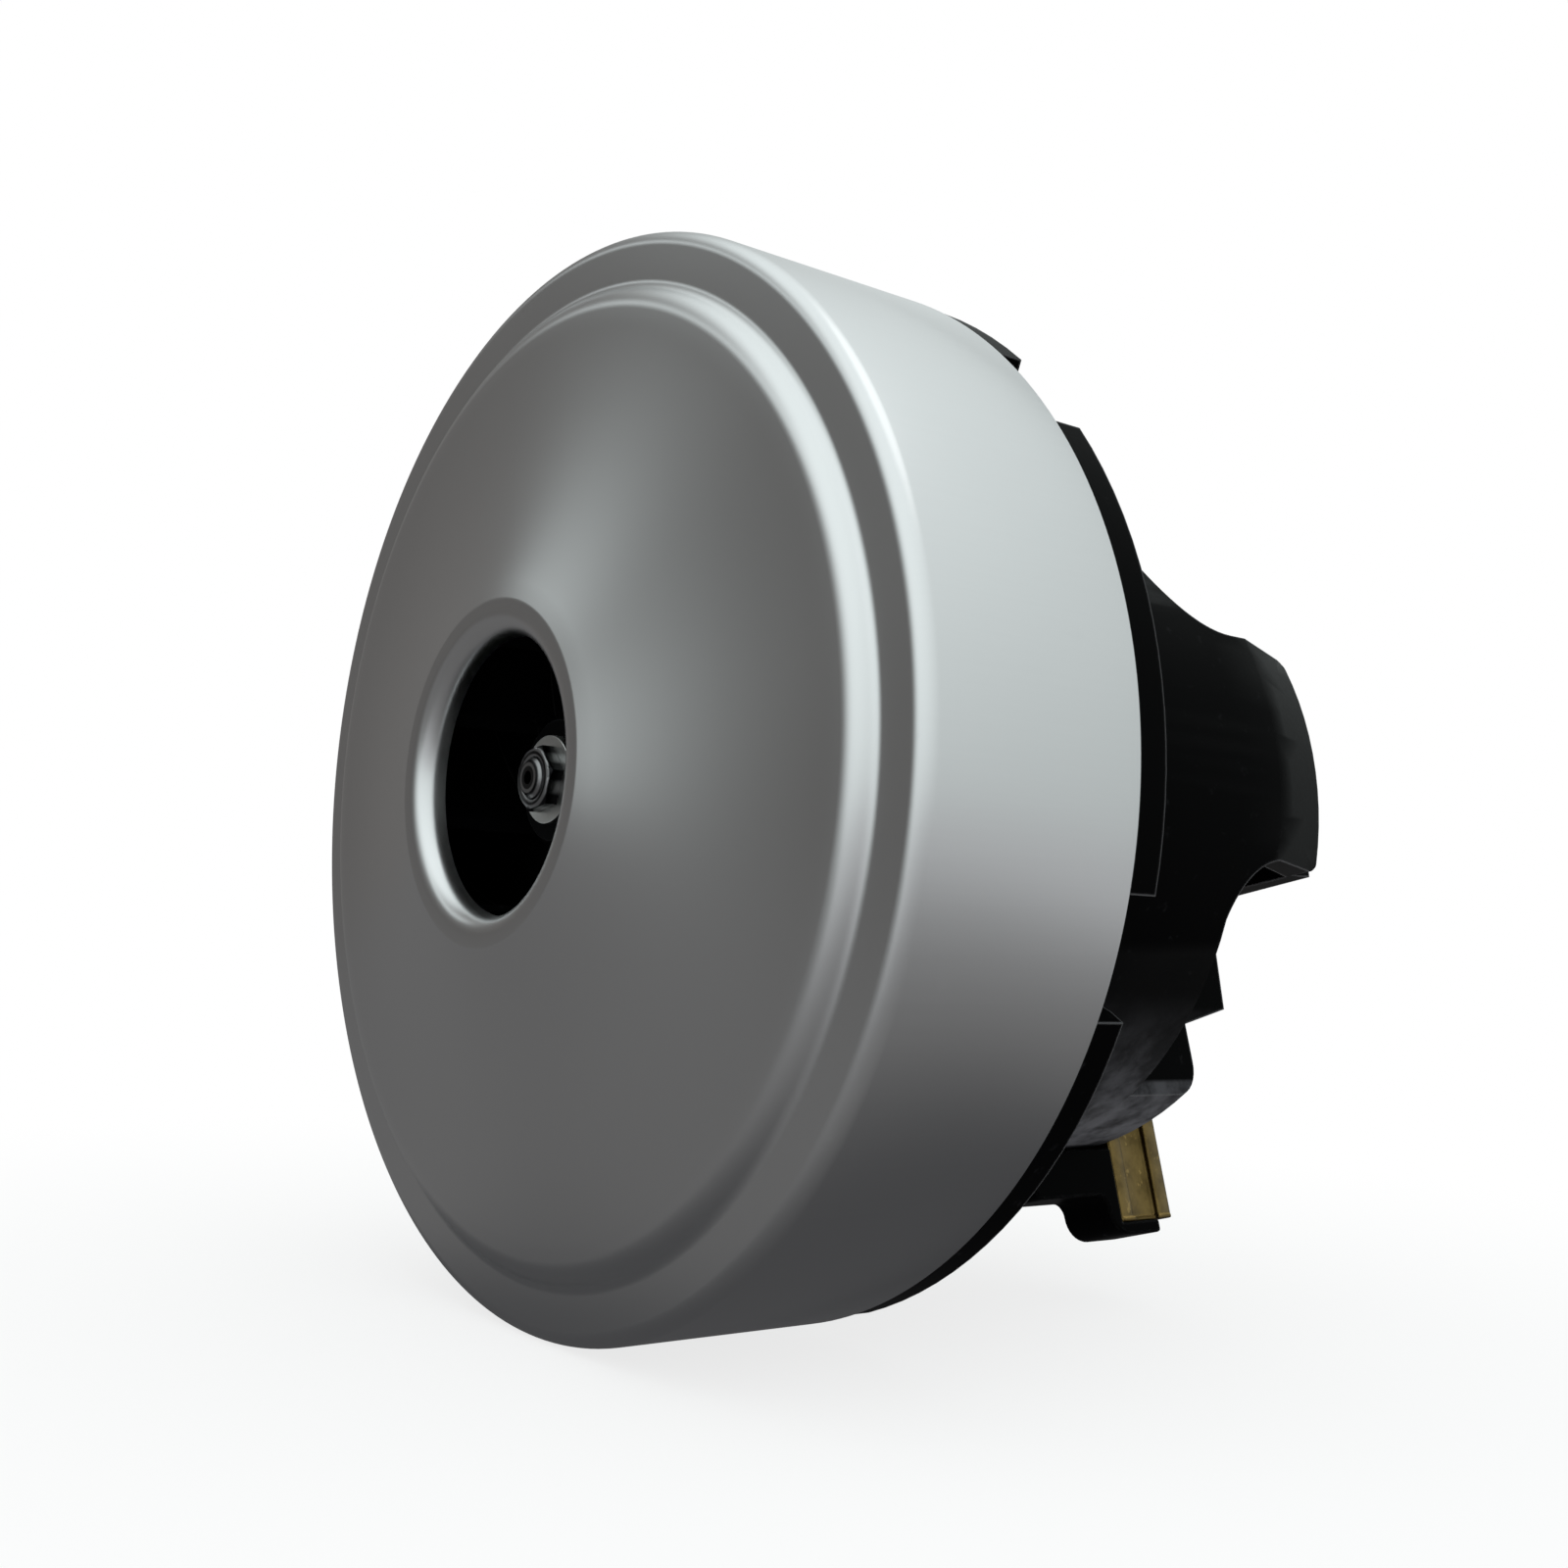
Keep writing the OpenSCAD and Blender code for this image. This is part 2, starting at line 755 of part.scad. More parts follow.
module slot_liners() {
    color("ivory")
        posed()
            translate([0, 0, z_stack - 1])
                linear_extrude(stack_len + 2)
                    for (half = [0, 1])
                        rotate(180 * half)
                            slot_2d(slot_d / 2 - liner_t - 2 * seat_gap, slot_d / 2 - 2 * seat_gap,
                                slot_half - 1);
}

// Field coil: a saddle round one pole, with an outer layer of loops that climb in radius
coil_in = bore_d / 2 + shoe_t + 0.5;
coil_out = slot_d / 2 - liner_t - 0.5;
coil_half = 86;
pole_half = 90 - slot_half + 1;
coil_reach = stack_len / 2 + coil_overhang;
z_mid = z_stack + stack_len / 2;
loop_pitch = (coil_out - coil_in - wire_d - 0.4) / coil_loops;
core_reach = coil_reach - wire_d / 2 - 0.15;
core_half = coil_half - 1.35;
corner_run = 6;
end_points = 8;
end_half = 70;
corner_side = 2;

// One loop in angle and height: the rear end, a side, the front end and the other side
loop_path = let (h = coil_reach - wire_d / 2,
        side = coil_half - 1,
        end = [for (i = [0:end_points - 1]) end_half * (1 - 2 * i / (end_points - 1))])
    concat([for (a = end) [a, h]], [[-side + 4, h - 1.5], [-side, h - corner_run]],
        [[-side, corner_run - h], [-side + 4, 1.5 - h]], [for (a = end) [-a, -h]],
        [[side - 4, 1.5 - h], [side, corner_run - h]], [[side, h - corner_run], [side - 4, h - 1.5]]);
loop_points = [for (i = [0:coil_loops * len(loop_path)])
    let (p = loop_path[i % len(loop_path)],
        r = coil_in + wire_d / 2 + 0.2 + loop_pitch * i / len(loop_path))
    [r * cos(p[0]), r * sin(p[0]), z_mid + p[1]]];
loop_outward = [for (p = loop_points) unit([p.x, p.y, 0])];

function unit(v) = v / norm(v);
function heading(path, i) = unit(path[min(i + 1, len(path) - 1)] - path[max(i - 1, 0)]);
// Least distance between points of a path that lie most of a turn apart, less the wire
function least_gap(path, turn, wire) =
    min([for (i = [0:len(path) - 1], j = [i + ceil(turn * 0.6):1:len(path) - 1])
        norm(path[i] - path[j])]) - wire;

// One unbroken six-sided tube along a path, given the outward direction at each point
module tube(path, outward, wire) {
    sides = 6;
    last = len(path) - 1;
    points = [for (i = [0:last])
        let (along = heading(path, i), across = unit(cross(along, outward[i])), out = cross(across, along))
        for (k = [0:sides - 1]) path[i] + wire / 2 * (cos(k * 60) * out + sin(k * 60) * across)];
    walls = [for (i = [0:last - 1], k = [0:sides - 1])
        let (a = i * sides + k, b = i * sides + (k + 1) % sides)
        each [[a, a + sides, b], [b, a + sides, b + sides]]];
    caps = [for (k = [1:sides - 2]) each
        [[0, k, k + 1], [last * sides, last * sides + k + 1, last * sides + k]]];
    polyhedron(points, concat(walls, caps));
}

module field_coil(half) {
    posed()
        rotate([0, 0, 180 * half]) {
            difference() {
                shell_wedge(coil_in, coil_out, 2 * core_half, z_mid - core_reach, z_mid + core_reach);
                shell_wedge(coil_in - 1, coil_out + 1, 2 * pole_half, z_stack - 0.5, z_stack_end + 0.5);
                for (end = [0, 1], side = [-1, 1])
                    rotate(side * 90)
                        shell_wedge(coil_in - 1, coil_out + 1, 2 * (corner_side + 90 - end_half),
                            z_mid + end * core_reach - (1 - end) * (core_reach + 1) - end * corner_run,
                            z_mid + end * (core_reach + 1) - (1 - end) * (core_reach - corner_run));
            }
            tube(loop_points, loop_outward, wire_d);
        }
}

module field_coil_near() {
    color("peru")
        field_coil(0);
}

module field_coil_far() {
    color("peru")
        field_coil(1);
}

// Ball bearings: races, shields, and balls in a crown cage
function pitch_r(bore, od) = (bore + od) / 4;
function ball_r(bore, od) = 0.1418 * (od - bore);
shield_t = 0.4;
shield_set = 0.3;

module race(bore, od, w) {
    rotate_extrude()
        translate([pitch_r(bore, od), w / 2])
            circle(ball_r(bore, od) + race_gap);
}

module bearing_outer(bore, od, w) {
    edge = pitch_r(bore, od) + 0.7 * ball_r(bore, od);
    shield_r = pitch_r(bore, od) - 0.7 * ball_r(bore, od) + 0.3;
    difference() {
        ring(edge, od / 2, 0, w);
        race(bore, od, w);
    }
    for (z = [shield_set, w - shield_set - shield_t])
        ring(shield_r, edge + weld, z, z + shield_t);
}

module bearing_inner(bore, od, w) {
    difference() {
        ring(bore / 2 + seat_gap, pitch_r(bore, od) - 0.7 * ball_r(bore, od), 0, w);
        race(bore, od, w);
    }
}

module bearing_balls(bore, od, w) {
    r = pitch_r(bore, od);
    ball = ball_r(bore, od);
    translate([0, 0, w / 2]) {
        for (i = [0:ball_count - 1])
            rotate(i * 360 / ball_count)
                translate([r, 0, 0])
                    sphere(ball);
        difference() {
            ring(r - 0.6, r + 0.6, 0, ball + 0.4);
            for (i = [0:ball_count - 1])
                rotate(i * 360 / ball_count)
                    translate([r, 0, 0])
                        sphere(ball + race_gap);
        }
    }
}

module front_bearing_outer() {
    color("silver")
        posed()
            translate([0, 0, z_front])
                bearing_outer(front_bore, front_od, front_w);
}

module front_bearing_inner() {
    color("silver")
        posed()
            translate([0, 0, z_front])
                bearing_inner(front_bore, front_od, front_w);
}

module front_bearing_balls() {
    color("gray")
        posed()
            translate([0, 0, z_front])
                bearing_balls(front_bore, front_od, front_w);
}

module rear_bearing_outer() {
    color("silver")
        posed()
            translate([0, 0, z_rear])
                bearing_outer(rear_bore, rear_od, rear_w);
}

module rear_bearing_inner() {
    color("silver")
        posed()
            translate([0, 0, z_rear])
                bearing_inner(rear_bore, rear_od, rear_w);
}

module rear_bearing_balls() {
    color("gray")
        posed()
            translate([0, 0, z_rear])
                bearing_balls(rear_bore, rear_od, rear_w);
}

module bearing_shim() {
    color("silver")
        posed()
            ring(rear_od / 2 - 2.2, rear_od / 2 - 0.1, z_rear + rear_w, z_rear + rear_w + shim_t);
}

module shaft() {
    tip_r = thread_d / 2;
    chamfer = 0.5;
    centre_r = 0.85;
    centre_depth = 2;
    shoulder = 0.6;
    front = front_bore / 2;
    rear = rear_bore / 2;
    color("silver")
        posed()
            revolve([[0, z_tip + centre_depth], [centre_r, z_tip + centre_depth - centre_r], [centre_r, z_tip],
                [tip_r - chamfer, z_tip], [tip_r, z_tip + chamfer], [tip_r, z_nose + shoulder],
                [front, z_nose + shoulder], [front, z_front + front_w], [shaft_d / 2, z_front + front_w],
                [shaft_d / 2, z_rear], [rear, z_rear], [rear, z_rear + rear_w - shoulder], [0,
                z_rear + rear_w - shoulder]]);
}

// Rotor: slotted stack, conductors and end turns
rotor_slot_r = 1.75;
rotor_slot_c = rotor_r - 3.4;
rotor_mouth = 1.3;

module rotor_core() {
    color("slategray")
        posed()
            translate([0, 0, z_stack])
                linear_extrude(stack_len)
                    difference() {
                        circle(rotor_r);
                        circle(shaft_d / 2 + seat_gap);
                        for (i = [0:bar_count - 1])
                            rotate(i * 360 / bar_count) {
                                translate([rotor_slot_c, 0])
                                    circle(rotor_slot_r, $fn = 24);
                                translate([rotor_slot_c, -rotor_mouth / 2])
                                    square([rotor_r, rotor_mouth]);
                            }
                    }
}

module rotor_winding() {
    end_len = 8.5;
    gap = 0.1;
    out = rotor_slot_c + rotor_slot_r + 0.3;
    in = shaft_d / 2 + 1.5;
    color("peru")
        posed() {
            revolve(concat([[in, z_stack - gap]], arc([in + 3, z_stack - end_len + 3], 3, 180, 270, bend_steps),
                arc([out - 4, z_stack - end_len + 4], 4, 270, 360, bend_steps), [[out, z_stack - gap]]));
            revolve(concat([[out, z_stack_end + gap]],
                arc([out - 5, z_stack_end + end_len - 5], 5, 0, 90, bend_steps),
                [[in, z_stack_end + end_len], [in, z_stack_end + gap]]));
            for (i = [0:bar_count - 1])
                rotate(i * 360 / bar_count)
                    translate([rotor_slot_c, 0, z_stack - 1])
                        cylinder(r = rotor_slot_r - gap, h = stack_len + 2, $fn = 24);
        }
}

comm_wall = 4;
riser_h = 1.8;
bar_gap = 0.6;

module commutator_bars() {
    r_in = comm_r - comm_wall;
    color("chocolate")
        posed()
            difference() {
                revolve([[r_in, z_comm - riser_len], [comm_r + riser_h, z_comm - riser_len],
                    [comm_r + riser_h, z_comm], [comm_r, z_comm], [comm_r, z_comm_end], [r_in, z_comm_end]]);
                for (i = [0:bar_count / 2 - 1])
                    rotate(i * 360 / bar_count + 180 / bar_count)
                        translate([-comm_d, -bar_gap / 2, z_comm - riser_len - 1])
                            cube([2 * comm_d, bar_gap, comm_len + riser_len + 2]);
            }
}

module commutator_hub() {
    color("saddlebrown")
        posed()
            ring(shaft_d / 2 + seat_gap, comm_r - comm_wall - seat_gap, z_comm - riser_len - 1, z_comm_end + 0.3);
}

// The points of an outline with right-angled corners, each corner rounded
function rounded(points, r) = [for (i = [0:len(points) - 1])
    let (p = points[i],
        before = unit(points[(i + len(points) - 1) % len(points)] - p),
        after = unit(points[(i + 1) % len(points)] - p))
    for (k = [0:fold_steps])
        let (a = 90 * k / fold_steps)
        p + r * ((1 - sin(a)) * before + (1 - cos(a)) * after)];

// Brush sleeve: folded brass tube with a channel along each side, flared to both sides at its outer end
module sleeve_2d(depth) {
    w = sleeve_w / 2 - depth;
    h = sleeve_h / 2 - depth;
    neck = sleeve_h / 4 + depth;
    polygon(rounded([[-w, -h], [w, -h], [w, -neck], [w - channel, -neck], [w - channel, neck], [w, neck],
        [w, h], [-w, h], [-w, neck], [channel - w, neck], [channel - w, -neck], [-w, -neck]], fold_r));
}

module brush_sleeve(half) {
    length = sleeve_end - sleeve_start;
    color("#b08d3c")
        posed()
            brush_side(half)
                translate([0, sleeve_start, z_brush])
                    rotate([-90, 0, 0])
                        difference() {
                            union() {
                                linear_extrude(length)
                                    sleeve_2d(0);
                                translate([0, 0, length - sleeve_t])
                                    linear_extrude(sleeve_t)
                                        intersection() {
                                            sleeve_2d(-sleeve_flare);
                                            square([2 * sleeve_w, sleeve_h - 2 * fold_r], center = true);
                                        }
                            }
                            translate([0, 0, -1])
                                linear_extrude(length + 2)
                                    sleeve_2d(sleeve_t);
                        }
}

module brush_sleeve_lower() {
    brush_sleeve(0);
}

module brush_sleeve_upper() {
    brush_sleeve(1);
}

// Brush carrier: a hollow foot on the can, with a nose that runs to a lip under the sleeve's outer end
carrier_front = 16;
carrier_nose = 2.2;
carrier_hollow = 2;
carrier_screw_r = 1.4;
carrier_screw_len = 6;
carrier_top = sleeve_end + carrier_t;
carrier_foot = can_r + 0.3;
carrier_shoulder = carrier_foot + 6.5;
carrier_round = carrier_top - carrier_shoulder - carrier_hollow;
z_carrier = z_brush - sleeve_h / 2 - slide_gap;
z_carrier_front = z_carrier - carrier_front;

// Side outline of the carrier, in height along the shaft and radius
module carrier_2d() {
    edge = 1.5;
    nose = z_carrier - carrier_nose;
    lip_end = z_brush + sleeve_h / 2 - 3;
    polygon(concat([[z_carrier, carrier_foot], [z_carrier_front, carrier_foot]],
        arc([z_carrier_front + edge, carrier_shoulder - edge], edge, 180, 90, bend_steps),
        arc([nose - carrier_hollow, carrier_shoulder + carrier_hollow], carrier_hollow, 270, 360, bend_steps),
        arc([nose + carrier_round, carrier_top - carrier_round], carrier_round, 180, 90, bend_steps),
        [[lip_end, carrier_top], [lip_end, sleeve_end], [z_carrier, sleeve_end]]));
}

module carrier_screw_places() {
    for (half = [0, 1])
        brush_side(half)
            translate([0, can_r, z_carrier - carrier_front / 2 - 3.5])
                rotate([-90, 0, 0])
                    children();
}

module brush_carrier(half) {
    color("#26282c")
        posed()
            brush_side(half)
                difference() {
                    translate([-carrier_w / 2, 0, 0])
                        rotate([90, 0, 90])
                            mirror([1, -1, 0])
                                linear_extrude(carrier_w)
                                    carrier_2d();
                    translate([-carrier_w / 2 - 1, carrier_foot + carrier_t, z_carrier_front + carrier_t])
                        cube([carrier_w + 1 - carrier_t, carrier_shoulder - carrier_foot - 2 * carrier_t,
                            carrier_front - 2 * carrier_t]);
                    translate([0, can_r, z_carrier - carrier_front / 2 - 3.5])
                        rotate([-90, 0, 0])
                            cylinder(r = carrier_screw_r + seat_gap, h = 2 * carrier_t + 1, center = true);
                }
}

module brush_carrier_lower() {
    brush_carrier(0);
}

module brush_carrier_upper() {
    brush_carrier(1);
}

module carrier_screws() {
    head_h = 1.6;
    seat = carrier_foot + carrier_t - can_r;
    color("silver")
        posed()
            carrier_screw_places() {
                translate([0, 0, seat])
                    cylinder(r = carrier_screw_r + 1.3, h = head_h);
                translate([0, 0, -can_t + 0.3])
                    cylinder(r = carrier_screw_r, h = seat + can_t - 0.3 + weld);
            }
}

module carbon_brush(half) {
    stud_r = 1.2;
    stud_len = 1.5;
    color("#3a3a3c")
        posed()
            brush_side(half)
                difference() {
                    union() {
                        translate([-brush_w / 2, comm_r - 2, z_brush - brush_h / 2])
                            cube([brush_w, brush_start + brush_len - comm_r + 2, brush_h]);
                        translate([0, brush_start + brush_len - weld, z_brush])
                            rotate([-90, 0, 0])
                                cylinder(r = stud_r, h = stud_len + weld);
                    }
                    translate([0, 0, z_brush - brush_h])
                        cylinder(r = brush_start, h = 2 * brush_h);
                }
}

module carbon_brush_lower() {
    carbon_brush(0);
}

module carbon_brush_upper() {
    carbon_brush(1);
}

// Brush spring, from the brush to the carrier's lip
spring_r = brush_w / 2 - spring_wire / 2 - 0.15;
spring_from = brush_start + brush_len + spring_wire / 2 + 0.05;
spring_to = sleeve_end - spring_wire / 2 - 0.05;
curl_rings = 8;
spring_points = [for (i = [0:spring_curls * curl_rings])
    let (a = 360 * i / curl_rings)
    [spring_r * cos(a), spring_from + (spring_to - spring_from) * i / (spring_curls * curl_rings),
        z_brush + spring_r * sin(a)]];
spring_outward = [for (p = spring_points) unit([p.x, 0, p.z - z_brush])];

module brush_spring(half) {
    color("lightsteelblue")
        posed()
            brush_side(half)
                tube(spring_points, spring_outward, spring_wire);
}

module brush_spring_lower() {
    brush_spring(0);
}

module brush_spring_upper() {
    brush_spring(1);
}

// Supply terminals: two blades that stand in the bridge
blade_w = 0.8;
blade_h = 6.3;
blade_len = 8;
terminal_out = 29.9;

module each_terminal() {
    for (side = [-1, 1])
        translate([side * terminal_out, 0, 0])
            children();
}

module terminal_blades() {
    color("lightgray")
        posed()
            each_terminal()
                difference() {
                    translate([-blade_w / 2, -blade_h / 2, z_leg - bridge_t])
                        cube([blade_w, blade_h, bridge_t + blade_len]);
                    translate([0, 0, z_leg + blade_len - 3])
                        rotate([0, 90, 0])
                            cylinder(r = 0.85, h = 4, center = true);
                }
}

echo(coil_gap = least_gap(loop_points, len(loop_path), wire_d));
echo(spring_gap = least_gap(spring_points, curl_rings, spring_wire));

fan_cover();
diffuser();
front_bracket();
bracket_screws();
motor_housing();
stator_core();
stator_screws();
field_coil_near();
field_coil_far();
slot_liners();
front_bearing_outer();
rear_bearing_outer();
bearing_shim();
brush_sleeve_lower();
brush_sleeve_upper();
brush_carrier_lower();
brush_carrier_upper();
carrier_screws();
brush_spring_lower();
brush_spring_upper();
terminal_blades();
carbon_brush_lower();
carbon_brush_upper();
shaft();
impeller();
impeller_shroud();
impeller_washer();
impeller_nut();
impeller_spacer();
rotor_core();
rotor_winding();
commutator_bars();
commutator_hub();
front_bearing_inner();
rear_bearing_inner();
front_bearing_balls();
rear_bearing_balls();
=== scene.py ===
# %% [markdown]
# # Vacuum motor unit
# A two-pole brush motor with a centrifugal fan under a drawn steel cover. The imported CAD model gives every
# place and size, and this lesson dresses it: the sheet of the cover is spun again with fine bends, mouldings get
# the small rounded edges that catch light, the windings get their wire, and each finish is made from nodes.

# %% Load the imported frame
import json
import math
import bmesh
import bpy
from mathutils import Matrix, Vector


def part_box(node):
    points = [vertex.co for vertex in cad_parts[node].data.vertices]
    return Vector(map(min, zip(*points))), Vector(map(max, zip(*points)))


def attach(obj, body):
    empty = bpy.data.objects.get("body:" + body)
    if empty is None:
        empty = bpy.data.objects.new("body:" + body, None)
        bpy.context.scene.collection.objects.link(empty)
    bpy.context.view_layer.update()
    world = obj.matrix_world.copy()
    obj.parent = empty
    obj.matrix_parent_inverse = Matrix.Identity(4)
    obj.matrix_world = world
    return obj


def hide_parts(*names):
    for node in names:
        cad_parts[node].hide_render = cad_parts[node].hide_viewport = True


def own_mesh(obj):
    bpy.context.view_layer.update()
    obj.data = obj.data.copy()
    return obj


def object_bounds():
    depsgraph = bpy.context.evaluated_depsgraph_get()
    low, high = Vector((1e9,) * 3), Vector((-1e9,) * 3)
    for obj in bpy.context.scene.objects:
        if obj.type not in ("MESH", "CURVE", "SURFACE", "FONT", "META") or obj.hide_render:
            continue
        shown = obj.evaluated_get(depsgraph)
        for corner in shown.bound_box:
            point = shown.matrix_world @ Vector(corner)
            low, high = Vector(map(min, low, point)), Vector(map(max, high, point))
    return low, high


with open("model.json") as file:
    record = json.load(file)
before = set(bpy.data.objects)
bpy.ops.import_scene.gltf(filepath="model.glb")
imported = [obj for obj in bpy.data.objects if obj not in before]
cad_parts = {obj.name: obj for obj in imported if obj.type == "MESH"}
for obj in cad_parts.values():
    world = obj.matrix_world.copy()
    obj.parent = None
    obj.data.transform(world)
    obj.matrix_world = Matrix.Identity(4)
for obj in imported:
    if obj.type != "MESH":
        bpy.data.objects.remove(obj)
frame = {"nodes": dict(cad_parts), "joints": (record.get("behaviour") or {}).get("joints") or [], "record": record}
cad_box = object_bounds()
scene = bpy.context.scene
scene.view_settings.view_transform = "Standard"
mounts = {mount["name"]: mount for mount in frame["record"]["mounts"]}
joints = {joint["name"]: joint for joint in frame["joints"]}

# %% [markdown]
# Each new piece is drawn in millimetres about a shaft that stands on z, as the motor would stand on a bench, with the
# bridge along x. A matrix then lays it into the frame, where the shaft lies along Y, and turns it about the shaft.
# The brushes stand a few degrees past the square of the bridge, and their own slide tells how far.

# %% Bench drawing to frame
MM = 0.001
BRIDGE_TURN = math.radians(12.0)
down = Vector(joints["brush_lower_slide"]["axis"])
brush_turn = math.atan2(down.x, -down.z)


def laid(turn):
    """Matrix from bench millimetres to the frame, turned about the shaft."""
    c, s = math.cos(turn), math.sin(turn)
    return Matrix(((c, s, 0, 0), (0, 0, 1, 0), (s, -c, 0, 0), (0, 0, 0, 1))) @ Matrix.Scale(MM, 4)


def along(node):
    """Where a node starts and ends along the shaft, in millimetres."""
    low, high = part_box(node)
    return low.y / MM, high.y / MM


def reach(node):
    """Largest radius of a round node about the shaft, in millimetres."""
    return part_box(node)[1].x / MM


print("brushes turned by", round(math.degrees(brush_turn), 2), "degrees")

# %% [markdown]
# The camera stands low and close, a little in front of the cover's plane and to its right, and it was held slightly
# askew. Such a near view gives the strong perspective of the round face, so place, direction and roll are all set.

# %% Camera
CAMERA_AT = Vector((193.4, -106.45, -16.7)) * MM
CAMERA_FORWARD = Vector((-0.7903, 0.6077, 0.0788))
CAMERA_ROLL = math.radians(2.7)
CAMERA_LENS = 41.5
CAMERA_NEAR = 0.005

lens = bpy.data.cameras.new("camera")
lens.lens = CAMERA_LENS
lens.clip_start = CAMERA_NEAR
camera = bpy.data.objects.new("camera", lens)
scene.collection.objects.link(camera)
facing = CAMERA_FORWARD.to_track_quat("-Z", "Y").to_matrix().to_4x4()
camera.matrix_world = Matrix.Translation(CAMERA_AT) @ facing @ Matrix.Rotation(CAMERA_ROLL, 4, "Z")
scene.camera = camera
print("camera with a lens of", CAMERA_LENS, "mm")

# %% [markdown]
# Shader sums read better as Python than as boxes and wires. Value wraps one output socket, so that 1 - mask adds
# a Math node by itself, and Shading.make is the only place where a node is made: settings first, then its sockets.

# %% Shading helper


class Value:
    """One output socket of a node tree, which takes part in Python sums."""

    def __init__(self, shading, socket):
        self.shading = shading
        self.socket = socket

    def sum(self, operation, *terms):
        return self.shading.make("ShaderNodeMath", {"operation": operation}, dict(enumerate(terms)))

    def __add__(self, other):
        return self.sum("ADD", self, other)

    def __sub__(self, other):
        return self.sum("SUBTRACT", self, other)

    def __rsub__(self, other):
        return self.sum("SUBTRACT", other, self)

    def __mul__(self, other):
        return self.sum("MULTIPLY", self, other)

    def __truediv__(self, other):
        return self.sum("DIVIDE", self, other)

    def __pow__(self, other):
        return self.sum("POWER", self, other)

    def __abs__(self):
        return self.sum("ABSOLUTE", self)

    def sine(self):
        return self.sum("SINE", self)

    __radd__ = __add__
    __rmul__ = __mul__


class Shading:
    """A node tree of a material or of the world, and the patterns that finishes share."""

    def __init__(self, tree):
        self.tree = tree

    def make(self, kind, settings=None, sockets=None, output=0):
        node = self.tree.nodes.new(kind)
        for name, value in (settings or {}).items():
            setattr(node, name, value)
        for name, value in (sockets or {}).items():
            if isinstance(value, Value):
                self.tree.links.new(value.socket, node.inputs[name])
            else:
                node.inputs[name].default_value = value
        return Value(self, node.outputs[output])

    def place(self):
        return self.make("ShaderNodeTexCoord", output="Object")

    def split(self, vector):
        first = self.make("ShaderNodeSeparateXYZ", sockets={0: vector})
        return [Value(self, socket) for socket in first.socket.node.outputs]

    def join(self, x, y, z):
        return self.make("ShaderNodeCombineXYZ", sockets={0: x, 1: y, 2: z})

    def noise(self, vector, scale, detail=3.0, roughness=0.5):
        sockets = {"Vector": vector, "Scale": scale, "Detail": detail, "Roughness": roughness}
        return self.make("ShaderNodeTexNoise", sockets=sockets)

    def between(self, value, low, high, out_low=0.0, out_high=1.0):
        """Smooth step of a value from one level to another."""
        sockets = {"Value": value, "From Min": low, "From Max": high, "To Min": out_low, "To Max": out_high}
        return self.make("ShaderNodeMapRange", {"interpolation_type": "SMOOTHSTEP"}, sockets)

    def mix(self, factor, first, second):
        pair = [(*c, 1.0) if isinstance(c, tuple) else c for c in (first, second)]
        return self.make("ShaderNodeMix", {"data_type": "RGBA"}, {0: factor, 6: pair[0], 7: pair[1]}, 2)

    def bump(self, height, distance, strength=1.0, normal=None):
        sockets = {"Height": height, "Distance": distance, "Strength": strength}
        if normal:
            sockets["Normal"] = normal
        return self.make("ShaderNodeBump", sockets=sockets)


class Finish(Shading):
    """A material with one Principled shader. Constants go straight onto the shader's sockets."""

    def __init__(self, name, **constants):
        self.material = bpy.data.materials.new(name)
        self.material.use_nodes = True
        super().__init__(self.material.node_tree)
        self.shader = self.tree.nodes["Principled BSDF"]
        for socket, value in constants.items():
            self.shader.inputs[socket.replace("_", " ")].default_value = value

    def feed(self, **values):
        for socket, value in values.items():
            self.tree.links.new(value.socket, self.shader.inputs[socket.replace("_", " ")])
        return self

    def polar(self):
        """Object coordinates, radius about the shaft and place along it, in metres."""
        place = self.place()
        x, y, z = self.split(place)
        return place, x, y, z, (x * x + z * z) ** 0.5

    def edges(self, width):
        """Normal that is rounded over every edge, and a mask of how far it turns from the face."""
        rounded = self.make("ShaderNodeBevel", {"samples": 6}, {"Radius": width * MM})
        face = self.make("ShaderNodeNewGeometry", output="Normal")
        turned = self.make("ShaderNodeVectorMath", {"operation": "DOT_PRODUCT"}, {0: rounded, 1: face}, "Value")
        return rounded, self.between(turned, 0.985, 0.85)


print("shading helper ready")

# %% [markdown]
# The cover is drawn from a disc of bright sheet. Drawing leaves faint streaks along the pull, from the inlet over the
# dome and down the skirt, and a painted sheen lightens the colour in rings on the tight bends of the lip and the step.
# The streak pattern therefore follows the direction about the shaft and the run along the sheet, and the bends of the
# painted sheen are told by their radius.

# %% Drawn steel


def drawn_steel(bends):
    finish = Finish("drawn_steel", Metallic=1.0)
    place, x, y, z, radius = finish.polar()
    pull = finish.join(x / radius * 170.0, z / radius * 170.0, (y - radius) * 45.0)
    on_skirt = finish.between(radius, 65.0 * MM, 66.5 * MM)
    streaks = finish.noise(pull, 1.0, 2.0) * (0.05 + on_skirt * 0.95)
    clouds = finish.noise(place, 30.0, 1.0)
    grain = finish.noise(place, 3200.0, 2.0)
    scuffs = finish.between(finish.noise(finish.join(x * 2.0, y * 0.6, z * 2.0), 160.0, 4.0, 0.6), 0.66, 0.74)
    scuffs = scuffs * on_skirt
    # painted sheen: the colour is lightened in a ring about each bend's radius
    painted_sheen = 0.0
    for bend_radius, width in bends:
        painted_sheen = finish.between(abs(radius - bend_radius * MM), width * MM, 0.0) + painted_sheen
    tone = streaks * 0.15 + clouds * 0.3 + painted_sheen * 0.25
    finish.feed(
        Base_Color=finish.mix(tone, (0.66, 0.665, 0.67), (0.76, 0.765, 0.77)),
        Roughness=0.28 + clouds * 0.03 + streaks * 0.02 + scuffs * 0.06,
        Normal=finish.bump(streaks * 0.1 + grain * 0.1 + scuffs * 0.4, 0.008 * MM, 0.2))
    return finish


